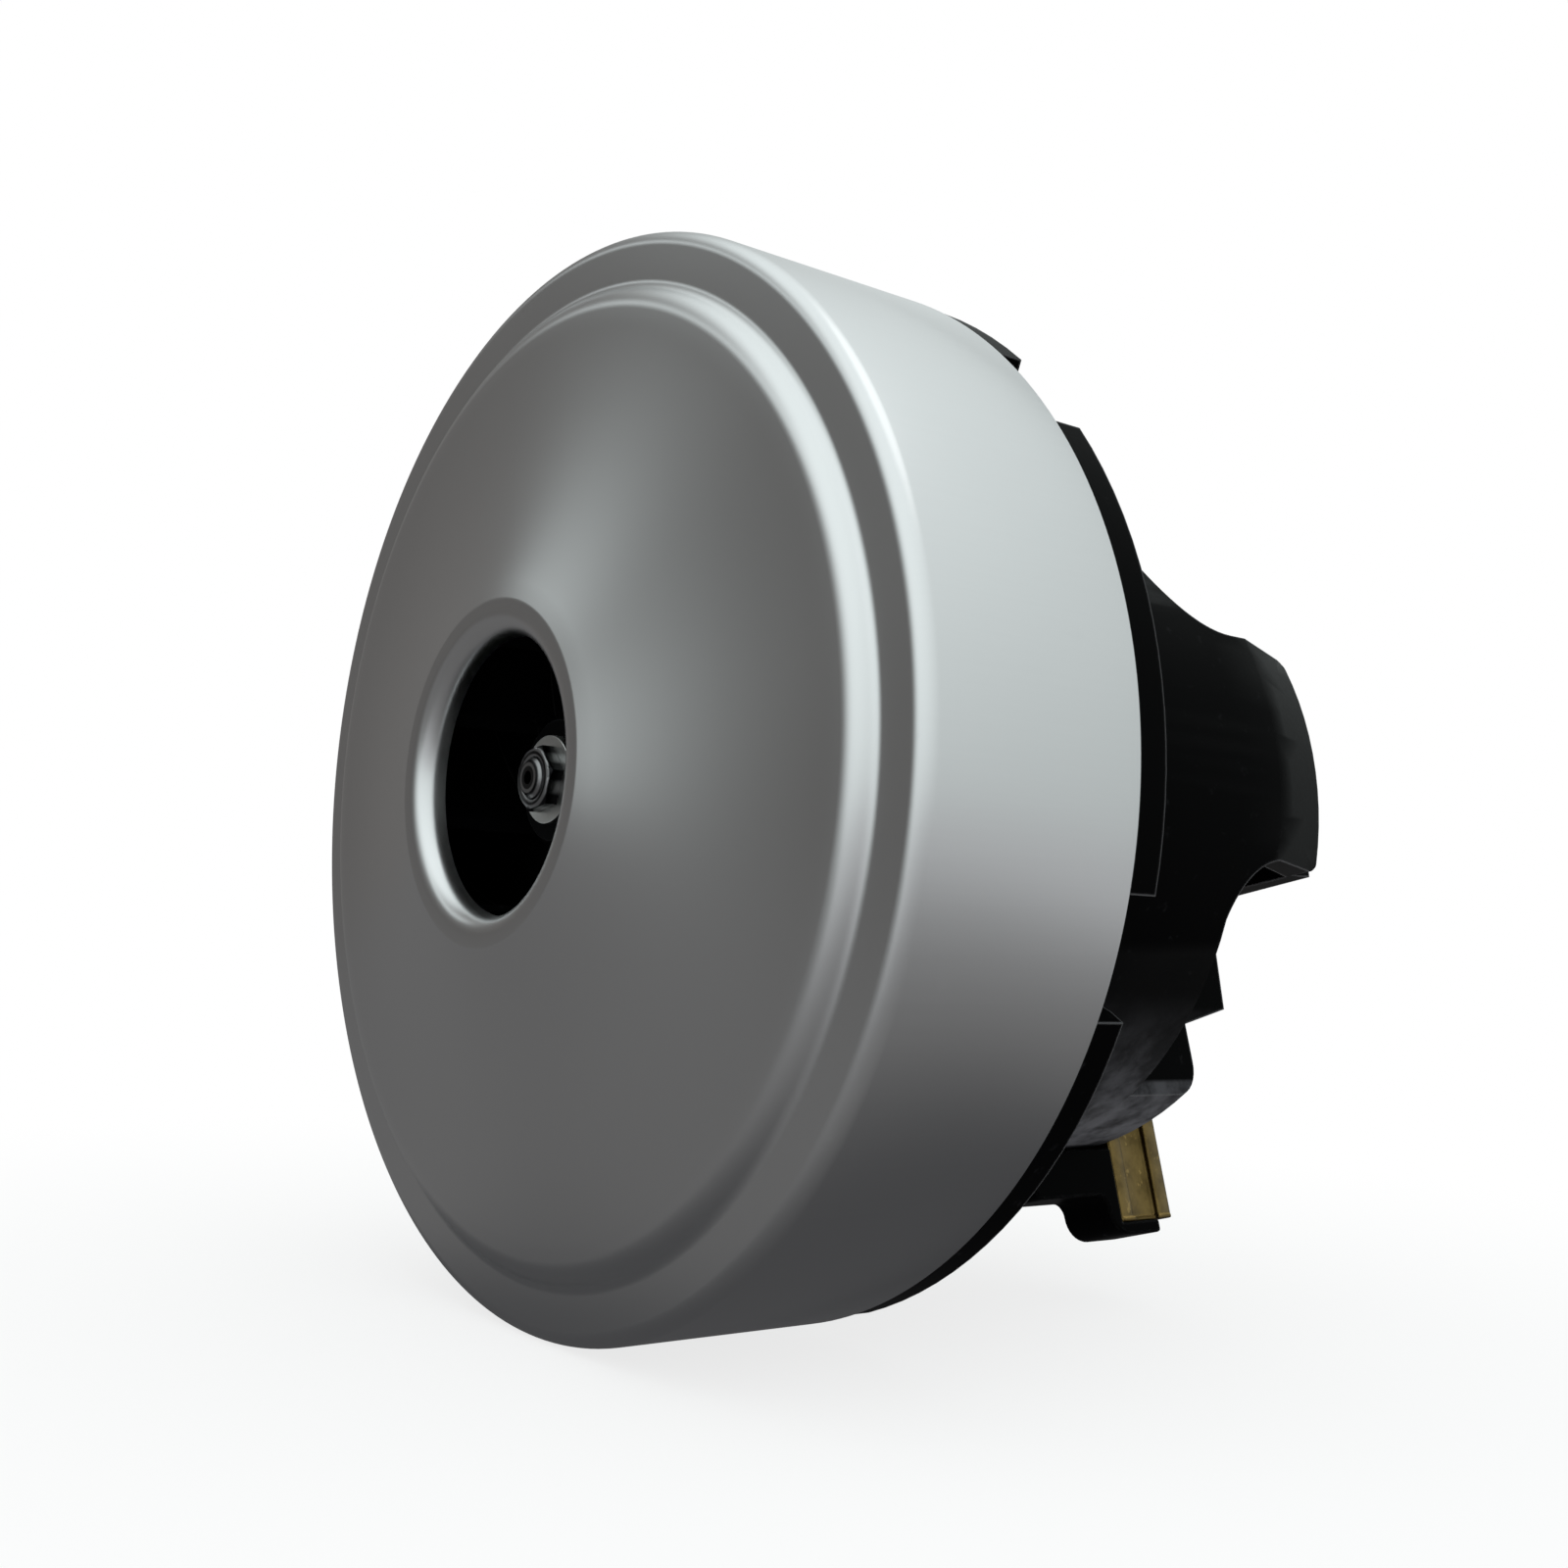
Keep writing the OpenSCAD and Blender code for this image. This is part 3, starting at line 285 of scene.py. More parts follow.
print("drawn steel follows the pull of the sheet")

# %% [markdown]
# Black glass-filled mouldings look even from afar, but they are not one black: the skin is glossier where the tool was
# polished, fine fibres show as grain, and the can turns a mottled paler grey towards its underside. Very low specular
# keeps the black deep under a white studio. A Bevel node rounds the light on every edge, and where it turns the normal
# away from the face, a painted highlight makes the edge a little paler.

# %% Black mouldings
PALE_FROM, PALE_TO = 47.0, 48.7


def black_moulding(name, gloss, grey, edge, highlight_share):
    finish = Finish(name, Specular_IOR_Level=0.012)
    place, x, y, z, radius = finish.polar()
    flow = finish.noise(place, 30.0, 4.0, 0.6)
    grain = finish.noise(place, 1800.0, 2.0)
    specks = finish.between(finish.noise(place, 420.0, 3.0, 0.7), 0.62, 0.78)
    # paler, mottled grey towards the bottom of the can, with fine specks all over
    on_can = finish.between(radius, (PALE_FROM - 0.6) * MM, PALE_FROM * MM)
    on_can = on_can * finish.between(radius, (PALE_TO + 0.4) * MM, PALE_TO * MM)
    low = finish.between(z / radius, -0.45, -0.95) * on_can
    mottle = finish.between(finish.noise(place, 120.0, 4.0, 0.65), 0.34, 0.62)
    pale_grey = specks * 0.05 + low * (0.25 + mottle * 0.65 - specks * 0.2)
    # painted highlight: the colour is made paler where the Bevel normal turns away from the face
    rounded, edge_highlight = finish.edges(edge)
    skin = finish.mix(pale_grey, (grey, grey, grey * 1.1), (0.11, 0.11, 0.12))
    finish.feed(
        Base_Color=finish.mix(edge_highlight * highlight_share, skin, (0.12, 0.12, 0.125)),
        Roughness=gloss + flow * 0.12 + grain * 0.06 + pale_grey * 0.3,
        Normal=finish.bump(grain * 0.5 + flow * 0.5, 0.03 * MM, 0.4, rounded))
    return finish


print("black mouldings hold dust below the can")

# %% [markdown]
# Turned and ground steel carries rings around the shaft, and plated screws a fine mottled bloom. Both are metals with
# a small change of roughness, so one function with a ring spacing and a colour serves them all.

# %% Turned and plated metals


def turned_metal(name, colour, roughness, ring_pitch=0.25, bloom=0.0):
    finish = Finish(name, Metallic=1.0)
    place, x, y, z, radius = finish.polar()
    rings = finish.noise(finish.join(x * 8.0, (y + radius) / (ring_pitch * MM), z * 8.0), 1.0, 2.0)
    mottle = finish.noise(place, 700.0, 3.0, 0.6)
    shade = tuple(c * 0.78 for c in colour)
    finish.feed(
        Base_Color=finish.mix(rings * (0.7 - bloom * 0.4) + mottle * bloom, shade, colour),
        Roughness=roughness + rings * 0.1 + mottle * (0.06 + bloom * 0.1),
        Normal=finish.bump(rings, 0.015 * MM, 0.4))
    return finish


print("turned metals carry rings")

# %% [markdown]
# The nut and the end of the shaft are blackened, and the turned steps of their fronts carry painted highlights as thin
# grey rings. The rings lie at set radii about the shaft. Behind the nut the shaft is ground bright.

# %% Blackened steel
RING_GLINT_WIDTH = 0.3


def blackened_steel(name, rings, black_to, beyond):
    finish = Finish(name, Metallic=1.0)
    place, x, y, z, radius = finish.polar()
    turned = finish.noise(finish.join(x * 8.0, (y + radius) / (0.25 * MM), z * 8.0), 1.0, 2.0)
    # painted highlight: thin grey rings at the radii of the turned steps
    highlighted = 0.0
    for ring in rings:
        highlighted = finish.between(abs(radius - ring * MM), RING_GLINT_WIDTH * MM, RING_GLINT_WIDTH * 0.4 * MM) + highlighted
    front = finish.mix(highlighted, (0.012, 0.012, 0.013), (0.26, 0.26, 0.265))
    finish.feed(
        Base_Color=finish.mix(finish.between(y, black_to * MM, (black_to + 0.2) * MM), front, beyond),
        Roughness=0.26 + turned * 0.1,
        Normal=finish.bump(turned, 0.015 * MM, 0.4))
    return finish


print("blackened steel is worn to rings")

# %% [markdown]
# A stack of laminations shows its sheets as fine lines across the shaft, with a trace of oil and brown where it was
# sheared. A wave along the shaft gives the lines, and two scales of noise the stains.

# %% Laminations


def lamination(name, sheet):
    finish = Finish(name, Metallic=0.85)
    place, x, y, z, radius = finish.polar()
    lines = finish.between((y * (math.tau / (sheet * MM))).sine(), -0.9, -0.3)
    stain = finish.noise(place, 110.0, 4.0, 0.6)
    finish.feed(
        Base_Color=finish.mix(stain, (0.30, 0.31, 0.33), (0.20, 0.17, 0.15)),
        Roughness=0.42 + stain * 0.2 - lines * 0.08,
        Normal=finish.bump(lines, 0.06 * MM, 0.6))
    return finish


print("laminations show their sheets")

# %% [markdown]
# Enamelled wire is copper under a clear amber lacquer. The coat socket gives the lacquer's own gloss over the softer
# copper, and slow noise lets the amber run from honey to brown. The commutator is bare copper with a dark brush track.

# %% Copper


def enamelled_copper():
    finish = Finish("enamelled_copper", Metallic=0.75, Coat_Weight=0.5, Coat_Roughness=0.12)
    place = finish.place()
    amber = finish.noise(place, 90.0, 3.0)
    varnish = finish.noise(place, 600.0, 2.0)
    finish.feed(
        Base_Color=finish.mix(amber, (0.62, 0.24, 0.07), (0.34, 0.11, 0.035)),
        Roughness=0.28 + varnish * 0.18,
        Normal=finish.bump(varnish, 0.04 * MM, 0.4))
    return finish


def commutator_copper(track_from, track_to):
    finish = Finish("commutator_copper", Metallic=1.0)
    place, x, y, z, radius = finish.polar()
    rings = finish.noise(finish.join(x * 20.0, y / (0.12 * MM), z * 20.0), 1.0, 2.0)
    track = finish.between(y, track_from * MM, (track_from + 0.6) * MM)
    track = track * finish.between(y, track_to * MM, (track_to - 0.6) * MM)
    finish.feed(
        Base_Color=finish.mix(track * 0.75 + rings * 0.2, (0.78, 0.40, 0.24), (0.26, 0.15, 0.11)),
        Roughness=0.22 + rings * 0.16,
        Normal=finish.bump(rings, 0.02 * MM, 0.5))
    return finish


print("copper is lacquered on wire and bare on the commutator")

# %% [markdown]
# The brush tube is folded from thin brass strip that has gone dull and olive. Rolling leaves lines along the strip,
# which here run away from the shaft, handling leaves darker patches, and the folds and cut edges carry a painted
# highlight.

# %% Brass


def strip_brass(name, bright, dull):
    finish = Finish(name, Metallic=1.0)
    place = finish.place()
    lines = finish.make("ShaderNodeMapping", {"vector_type": "TEXTURE"},
                        {"Vector": place, "Rotation": (0.0, -brush_turn, 0.0), "Scale": (1.0, 1.0, 22.0)})
    rolled = finish.noise(lines, 1500.0, 2.0)
    tarnish = finish.noise(place, 260.0, 4.0, 0.62)
    # painted highlight on every fold and cut edge, from the Bevel normal
    rounded, highlighted = finish.edges(0.45)
    specks = finish.between(finish.noise(place, 620.0, 3.0, 0.6), 0.62, 0.72)
    highlight_and_speck_colour = tuple(min(1.0, c * 3.2) for c in bright)
    skin = finish.mix(finish.between(tarnish, 0.35, 0.7), bright, dull)
    finish.feed(
        Base_Color=finish.mix(highlighted * 0.8 + specks * 0.3, skin, highlight_and_speck_colour),
        Roughness=0.2 + rolled * 0.14 + tarnish * 0.16,
        Normal=finish.bump(rolled * 0.7 + tarnish * 0.3, 0.03 * MM, 0.4, rounded))
    return finish


print("brass is rolled and worn at its folds")

# %% [markdown]
# The rest are quiet parts: pressed carbon with fine pores, cream film round the slots, brown resin in the commutator
# and a die-cast bracket. Each still gets its own grain.

# %% Carbon, film, resin and casting


def pressed(name, dark, light, roughness, grain_scale, depth, **constants):
    finish = Finish(name, **constants)
    place = finish.place()
    grain = finish.noise(place, grain_scale, 3.0, 0.6)
    drift = finish.noise(place, grain_scale * 0.06, 2.0)
    finish.feed(
        Base_Color=finish.mix(grain * 0.5 + drift * 0.5, dark, light),
        Roughness=roughness + grain * 0.16,
        Normal=finish.bump(grain, depth * MM, 0.5))
    return finish


print("carbon, film, resin and castings have their grain")

# %% [markdown]
# The finishes are made once and handed to pieces by the record's slot names, so a piece and its CAD node always
# share one look.

# %% Make the finishes
brush_from, brush_to = along("carbon_brush_lower")
nut_to = along("impeller_nut")[1]
inlet_radius = mounts["inlet"]["dims"]["r_mm"]
STEP_RADIUS = 58.6

finishes = {
    # rings of painted sheen on the inlet's lip and on the step, as radius and width in millimetres
    "cover_steel": drawn_steel([(inlet_radius + 1.0, 3.0), (STEP_RADIUS, 2.6)]),
    "black_moulding": black_moulding("black_moulding", 0.26, 0.0008, 0.5, 0.9),
    "fan_plastic": black_moulding("fan_plastic", 0.30, 0.0015, 0.3, 0.15),
    "bracket_metal": pressed("cast_bracket", (0.50, 0.51, 0.52), (0.66, 0.67, 0.68), 0.42, 900.0, 0.05, Metallic=1.0),
    "zinc_screw": turned_metal("zinc_plate", (0.72, 0.73, 0.71), 0.24, 0.4, 0.7),
    "dark_nut": blackened_steel("blackened_steel", (2.75, 3.55), nut_to, (0.05, 0.05, 0.05)),
    "shaft_steel": blackened_steel("ground_steel", (1.65, 2.4), nut_to, (0.64, 0.64, 0.65)),
    "bearing_steel": turned_metal("bearing_steel", (0.68, 0.68, 0.69), 0.14, 0.3),
    "spring_steel": turned_metal("spring_wire", (0.42, 0.43, 0.45), 0.26, 0.5, 0.4),
    "lamination": lamination("lamination", 0.65),
    "copper_wire": enamelled_copper(),
    "copper_bar": commutator_copper(brush_from, brush_to),
    "brush_brass": strip_brass("strip_brass", (0.17, 0.116, 0.040), (0.09, 0.061, 0.021)),
    "tinned_brass": strip_brass("tinned_brass", (0.74, 0.72, 0.66), (0.56, 0.53, 0.45)),
    "carbon": pressed("pressed_carbon", (0.018, 0.018, 0.02), (0.05, 0.05, 0.054), 0.45, 1600.0, 0.04),
    "liner_film": pressed("liner_film", (0.70, 0.66, 0.52), (0.80, 0.77, 0.66), 0.35, 500.0, 0.02),
    "brown_resin": pressed("brown_resin", (0.09, 0.04, 0.018), (0.17, 0.08, 0.035), 0.38, 800.0, 0.03),
}
slot_of = {part["node"]: part["material_slot"] for part in frame["record"]["subparts"]}
body_of = {node: body for body, nodes in frame["record"]["behaviour"]["bodies"].items() for node in nodes}
for node, piece in frame["nodes"].items():
    piece.data.materials.clear()
    piece.data.materials.append(finishes[slot_of[node]].material)
print(len(finishes), "finishes on", len(frame["nodes"]), "nodes")

# %% [markdown]
# A finished bmesh becomes an object in one way only: smooth faces, sharp edges kept by angle, its finish, its body and
# the CAD node that it stands for. A curve of wire goes the same road once it is turned into a mesh.

# %% From bmesh to piece
SHARP = math.radians(38.0)


def add_piece(mesh, name, *nodes):
    """Puts a mesh into the scene for the nodes that it replaces."""
    mesh.materials.clear()
    mesh.materials.append(finishes[slot_of[nodes[0]]].material)
    mesh.shade_smooth()
    mesh.set_sharp_from_angle(angle=SHARP)
    piece = bpy.data.objects.new(name, mesh)
    scene.collection.objects.link(piece)
    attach(piece, body_of[nodes[0]])
    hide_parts(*nodes)
    print(name, len(mesh.polygons), "faces")
    return piece


def piece_from(bm, name, *nodes):
    """Lays a bmesh from the bench into the frame and makes it a piece."""
    bmesh.ops.transform(bm, matrix=laid(BRIDGE_TURN), verts=bm.verts)
    bmesh.ops.recalc_face_normals(bm, faces=bm.faces)
    mesh = bpy.data.meshes.new(name)
    bm.to_mesh(mesh)
    bm.free()
    return add_piece(mesh, name, *nodes)


def bend(centre, radius, start, end, steps=10):
    """Points along an arc of a sheet's section, as radius and height. Angles are in degrees."""
    angles = [math.radians(start + (end - start) * i / steps) for i in range(steps + 1)]
    return [(centre[0] + radius * math.cos(a), centre[1] + radius * math.sin(a)) for a in angles]


def spun(section, steps=224):
    """A closed section of radius and height, spun once round the shaft."""
    bm = bmesh.new()
    corners = [bm.verts.new((radius, 0.0, height)) for radius, height in section]
    edges = [bm.edges.new((a, b)) for a, b in zip(corners, corners[1:] + corners[:1])]
    bmesh.ops.spin(bm, geom=corners + edges, cent=(0, 0, 0), axis=(0, 0, 1), angle=math.tau, steps=steps,
                   use_merge=True)
    bmesh.ops.remove_doubles(bm, verts=bm.verts, dist=1e-4)
    return bm


print("edges stay sharp above", round(math.degrees(SHARP)), "degrees")

# %% [markdown]
# The fan cover is one sheet of even thickness, so its section is the outside line and the same line set in by the
# sheet's thickness. The lip rolls out of the inlet into a narrow flat ring. From its fold, the dome is a wide hollow
# sweep that touches the fold and the rounded step, and its centre lies where two circles about theirs meet. Every
# bend is a true arc, and the spin gives the round form. A small bevel breaks the cut edge of the rim, which shines as
# a thin line beside the black flange.

# %% Fan cover
SHEET = 1.0
LIP = 2.7
LIP_FLAT = 1.2
LIP_FOLD = 1.2
CORNER = 2.0
STEP_FOOT = 61.5
STEP_ROUND = 3.5
FOOT_ROUND = 1.6
STEP_SLOPE = 55.0
DOME_SWEEP = 120.0
RIM_BREAK = 0.3

cover_rim = along("fan_cover")[1]
cover_radius = reach("fan_cover")
throat = mounts["inlet"]["dims"]["length_mm"] / 2
face = mounts["front_seal_face"]["pos_m"][1] / MM
lip_at = Vector((inlet_radius + LIP, -throat))
fold_at = lip_at + Vector((LIP_FLAT, LIP_FOLD - LIP))
foot_at = Vector((STEP_FOOT, face - FOOT_ROUND))
wall = Vector((math.sin(math.radians(STEP_SLOPE)), -math.cos(math.radians(STEP_SLOPE))))
crest_at = foot_at - (FOOT_ROUND + STEP_ROUND) * wall
run = crest_at - fold_at
fold_arm, crest_arm = DOME_SWEEP + LIP_FOLD, DOME_SWEEP + STEP_ROUND
share = (fold_arm ** 2 - crest_arm ** 2 + run.length ** 2) / (2 * run.length)
sweep_at = fold_at + (share * run + math.sqrt(fold_arm ** 2 - share ** 2) * Vector((run.y, -run.x))) / run.length
fold_end, crest_start = (math.degrees(math.atan2(*(sweep_at - at).yx)) for at in (fold_at, crest_at))


def sheet_line(depth):
    return [
        (inlet_radius + depth, throat),
        *bend(lip_at, LIP - depth, 180.0, 270.0, 12),
        *bend(fold_at, LIP_FOLD - depth, -90.0, fold_end, 4),
        *bend(sweep_at, DOME_SWEEP + depth, fold_end + 180.0, crest_start + 180.0, 16)[1:-1],
        *bend(crest_at, STEP_ROUND - depth, crest_start, STEP_SLOPE - 90.0),
        *bend(foot_at, FOOT_ROUND + depth, STEP_SLOPE + 90.0, 90.0, 8),
        *bend((cover_radius - CORNER, face + CORNER), CORNER - depth, -90.0, 0.0, 12),
        (cover_radius - depth, cover_rim),
    ]


cover = spun(sheet_line(0.0) + sheet_line(SHEET)[::-1])
rim = [e for e in cover.edges if all(v.co.z > cover_rim - 0.01 for v in e.verts)]
bmesh.ops.bevel(cover, geom=rim, offset=RIM_BREAK, offset_type="OFFSET", segments=2, profile=0.5,
                affect="EDGES", material=-1)
piece_from(cover, "fan_cover_sheet", "fan_cover")

# %% [markdown]
# Moulded, cast, stamped and machined pieces keep the CAD shape, which is right, but a real edge is never perfectly
# sharp. A merged copy of the CAD mesh takes a Bevel modifier, wide on mouldings and narrow on stampings, and its
# flat faces are first joined so that the bevel meets whole edges and not the triangles of the mesh. Pieces with many
# short edges get none, because their finish already rounds the light. The six tabs of the housing's flange are set out
# a little here, so that they show behind the rim as they do on the real motor.

# %% Pieces with softened edges
EDGE_BREAK = {
    "motor_housing": 0.0, "brush_carrier_lower": 0.4, "brush_carrier_upper": 0.4, "brush_sleeve_lower": 0.2,
    "brush_sleeve_upper": 0.2, "impeller": 0.0, "impeller_shroud": 0.0, "impeller_washer": 0.15, "impeller_nut": 0.12,
    "diffuser": 0.0, "front_bracket": 0.35, "terminal_blades": 0.12, "commutator_bars": 0.1,
    "carbon_brush_lower": 0.25, "carbon_brush_upper": 0.25,
}
TAB_RADIUS = 66.2
TAB_REACH = 67.2


def softened(node, width):
    bm = bmesh.new()
    bm.from_mesh(frame["nodes"][node].data)
    bmesh.ops.remove_doubles(bm, verts=bm.verts, dist=1e-7)
    if node == "motor_housing":
        out = [v for v in bm.verts if abs(math.hypot(v.co.x, v.co.z) / MM - TAB_RADIUS) < 0.05]
        bmesh.ops.scale(bm, vec=(TAB_REACH / TAB_RADIUS, 1.0, TAB_REACH / TAB_RADIUS), verts=out)
    bmesh.ops.dissolve_limit(bm, angle_limit=math.radians(0.4), verts=bm.verts, edges=bm.edges)
    mesh = bpy.data.meshes.new(node + "_softened")
    bm.to_mesh(mesh)
    bm.free()
    piece = add_piece(mesh, node + "_softened", node)
    if not width:
        even = piece.modifiers.new("even", "WEIGHTED_NORMAL")
        even.keep_sharp = True
        return
    edge = piece.modifiers.new("edge", "BEVEL")
    edge.width = width * MM
    edge.segments = 2
    edge.limit_method = "ANGLE"
    edge.angle_limit = SHARP
    edge.use_clamp_overlap = False
    edge.harden_normals = True


for node, width in EDGE_BREAK.items():
    softened(node, width)

# %% [markdown]
# Each field coil is wound on a former and pushed over its pole: the wire runs down one slot, round the end of the
# stack and up the other slot. One unbroken path goes through every loop, layer by layer, and a round bevel on
# the path makes the wire. Angles are about the shaft and heights from the middle of the stack.

# %% Field coils
FIELD_WIRE = 1.1
FIELD_ROWS = 7
FIELD_LAYERS = 7
COIL_INNER = 24.8
COIL_OUTER = 33.1
COIL_SIDE = 85.0
COIL_CORNER = 5.0
COIL_END_POINTS = 12
LAYER_PACK = 1.02
LAYER_TURN = 4.6

stack_from, stack_to = along("stator_core")
coil_from, coil_to = along("field_coil_near")
stack_middle = (stack_from + stack_to) / 2
coil_reach = (coil_to - coil_from - FIELD_WIRE) / 2


def wire(paths, diameter, name, *nodes, sides=2, turn=BRIDGE_TURN):
    """Round wires along lists of points in bench millimetres, as one mesh."""
    line = bpy.data.curves.new(name, "CURVE")
    line.dimensions = "3D"
    line.bevel_depth = diameter / 2 * MM
    line.bevel_resolution = sides
    line.use_fill_caps = True
    for points in paths:
        spline = line.splines.new("POLY")
        spline.points.add(len(points) - 1)
        for point, place in zip(spline.points, points):
            point.co = (*(laid(turn) @ Vector(place)), 1.0)
    holder = bpy.data.objects.new(name, line)
    mesh = bpy.data.meshes.new_from_object(holder)
    bpy.data.objects.remove(holder)
    mesh.name = name
    return add_piece(mesh, name, *nodes)


def coil_loop(layer, row, turned):
    """One loop of a field coil: an end, a side, the other end and the other side."""
    radius = COIL_INNER + FIELD_WIRE / 2 + (COIL_OUTER - COIL_INNER - FIELD_WIRE) * row / (FIELD_ROWS - 1)
    inward = FIELD_LAYERS - 1 - layer
    height = coil_reach - FIELD_WIRE * LAYER_PACK * inward
    side = COIL_SIDE - LAYER_TURN * inward
    bend_angle = math.degrees(COIL_CORNER / radius)
    end = [(side - bend_angle - (side - bend_angle) * 2 * i / COIL_END_POINTS, height)
           for i in range(COIL_END_POINTS + 1)]
    corner = [(-side + bend_angle * (1 - math.sin(math.radians(a))),
               height - COIL_CORNER * (1 - math.cos(math.radians(a)))) for a in (30, 60, 90)]
    half = end + corner
    path = half + [(-angle, -up) for angle, up in half]
    return [(radius * math.cos(math.radians(angle) + turned), radius * math.sin(math.radians(angle) + turned),
             stack_middle + up) for angle, up in path]


for node, turned in (("field_coil_near", 0.0), ("field_coil_far", math.pi)):
    path = [point for layer in range(FIELD_LAYERS) for row in range(FIELD_ROWS)
            for point in coil_loop(layer, row if layer % 2 == 0 else FIELD_ROWS - 1 - row, turned)]
    wire([path], FIELD_WIRE, node + "_wire", node)

# %% [markdown]
# The brush springs are close coils of thin wire that push each brush onto the commutator. They are short and seen only
# through the end of the tube, but a helix is quickly made. A worn brush lets its spring grow longer and a pushed one
# shuts it; here the share of its length that a fully pushed brush leaves is worked out and printed.

# %% Brush springs
SPRING_WIRE = 0.6
SPRING_CURLS = 10
SPRING_POINTS = 20
SPRING_PLAY = 0.05

tube_middle = sum(along("brush_sleeve_lower")) / 2
for half, side in (("lower", 1), ("upper", -1)):
    node, slide = f"brush_spring_{half}", f"brush_{half}_slide"
    low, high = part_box(node)
    spring_radius = (high.y - low.y) / 2 / MM - SPRING_WIRE / 2
    far = [abs(corner.dot(down)) / MM for corner in (low, high)]
    inner, outer = min(far) + SPRING_WIRE, max(far) - SPRING_WIRE
    turns = [i / SPRING_POINTS for i in range(SPRING_CURLS * SPRING_POINTS + 1)]
    helix = [(spring_radius * math.cos(math.tau * t), side * (inner + (outer - inner) * t / SPRING_CURLS),
              tube_middle + spring_radius * math.sin(math.tau * t)) for t in turns]
    spring = wire([helix], SPRING_WIRE, node + "_helix", node, turn=brush_turn)
    seat = laid(brush_turn) @ Vector((0.0, side * (outer + SPRING_WIRE / 2), tube_middle))
    shut = joints[slide]["range_m"][1] / MM + SPRING_PLAY
    kept = 1 - shut / (outer - inner + SPRING_WIRE)
    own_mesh(spring)
    print(slide, "shuts its spring to", round(kept, 3))

# %% [markdown]
# The rotor is wound from slot to slot, so its ends are a basket of crossing strands. Each strand leaves one slot,
# passes round the shaft at a smaller radius and height of its own, and goes into the slot almost opposite. A loop over
# the slots gives the whole basket at both ends, and straight strands fill the slots between them.

# %% Rotor winding
ROTOR_SLOTS = 22
ROTOR_PITCH = 9
STRANDS = 4
STRAND_WIRE = 0.95
STRAND_POINTS = 16
STRAND_LOWER = 1.5
STRAND_INWARD = 2.0
STRAND_ARCH = 0.55
SLOT_RADIUS = 17.6

rotor_from, rotor_to = along("rotor_core")
wound_from, wound_to = along("rotor_winding")


def strand_basket(end, far, sign):
    """Strands over one end of the rotor, as separate short wires joined in one mesh."""
    paths = []
    for slot in range(ROTOR_SLOTS):
        for strand in range(STRANDS):
            start = math.tau * slot / ROTOR_SLOTS
            span = math.tau * ROTOR_PITCH / ROTOR_SLOTS
            crown = abs(far - end) - STRAND_WIRE - strand * STRAND_LOWER
            inner = SLOT_RADIUS - STRAND_INWARD - strand * STRAND_INWARD
            points = []
            for i in range(STRAND_POINTS + 1):
                t = i / STRAND_POINTS
                rise = math.sin(math.pi * t) ** STRAND_ARCH
                radius = SLOT_RADIUS + 0.6 - strand * 0.4 - (SLOT_RADIUS - inner) * math.sin(math.pi * t)
                points.append((radius * math.cos(start + span * t), radius * math.sin(start + span * t),
                               end + sign * crown * rise))
            paths.append(points)
    return paths


slot_wires = [[(SLOT_RADIUS * math.cos(a), SLOT_RADIUS * math.sin(a), z) for z in (rotor_from - 0.5, rotor_to + 0.5)]
              for a in (math.tau * i / ROTOR_SLOTS for i in range(ROTOR_SLOTS))]
wire(strand_basket(rotor_from, wound_from, -1) + strand_basket(rotor_to, wound_to, 1) + slot_wires,
     STRAND_WIRE, "rotor_winding_strands", "rotor_winding", sides=1)

# %% [markdown]
# The studio is a white surround and white paper under the part, both at a level where a colour renders as it is
# written. The paper glows white, and only a soft patch of it is left to the light, so that the part keeps a faint
# shadow. A plain softbox hangs high up on the right.

# %% White studio
FLOOR_Z = cad_box[0][2]
FLOOR_SIZE = 6.0
PART_MIDDLE = 0.05
SHADOW_SHARE = 0.22

world = bpy.data.worlds.new("studio")
world.use_nodes = True
world.node_tree.nodes["Background"].inputs["Color"].default_value = (1.0, 1.0, 1.0, 1.0)
scene.world = world


def stage_piece(bm, name, finish):
    """A thing of the studio, which is not part of the motor."""
    mesh = bpy.data.meshes.new(name)
    bm.to_mesh(mesh)
    bm.free()
    mesh.materials.append(finish.material)
    piece = bpy.data.objects.new(name, mesh)
    scene.collection.objects.link(piece)
    return piece


def glowing(name):
    """A finish that shows its emission colour at strength 1 and throws no light back."""
    return Finish(name, Base_Color=(0.0, 0.0, 0.0, 1.0), Roughness=1.0, Specular_IOR_Level=0.0, Emission_Strength=1.0)


def sheet_at(height):
    bm = bmesh.new()
    bmesh.ops.create_grid(bm, x_segments=1, y_segments=1, size=FLOOR_SIZE, matrix=Matrix.Translation((0, 0, height)))
    return bm


def from_part(finish):
    """Place across the floor, and how far it lies from below the middle of the part, in metres."""
    x, y, z = finish.split(finish.place())
    back = y - PART_MIDDLE
    return x, (x * x + back * back) ** 0.5


paper = glowing("studio_paper")
away = from_part(paper)[1]
shadow = paper.between(away, 0.05, 0.24, SHADOW_SHARE, 0.0)
paper.feed(Base_Color=paper.mix(shadow, (0.0, 0.0, 0.0), (0.92, 0.92, 0.92)),
           Emission_Color=paper.mix(shadow, (1.0, 1.0, 1.0), (0.0, 0.0, 0.0)))
floor = stage_piece(sheet_at(FLOOR_Z), "floor", paper)
print("floor at", round(FLOOR_Z / MM, 2), "mm")


def softbox(name, place, target, size, power):
    light = bpy.data.lights.new(name, "AREA")
    light.shape = "DISK"
    light.size = size
    light.energy = power
    box = bpy.data.objects.new(name, light)
    scene.collection.objects.link(box)
    aim = (Vector(target) - Vector(place)).to_track_quat("-Z", "Y").to_matrix().to_4x4()
    box.matrix_world = Matrix.Translation(place) @ aim


softbox("overhead", (0.25, 0.15, 0.75), (0.0, 0.05, 0.0), 0.6, 0.4)
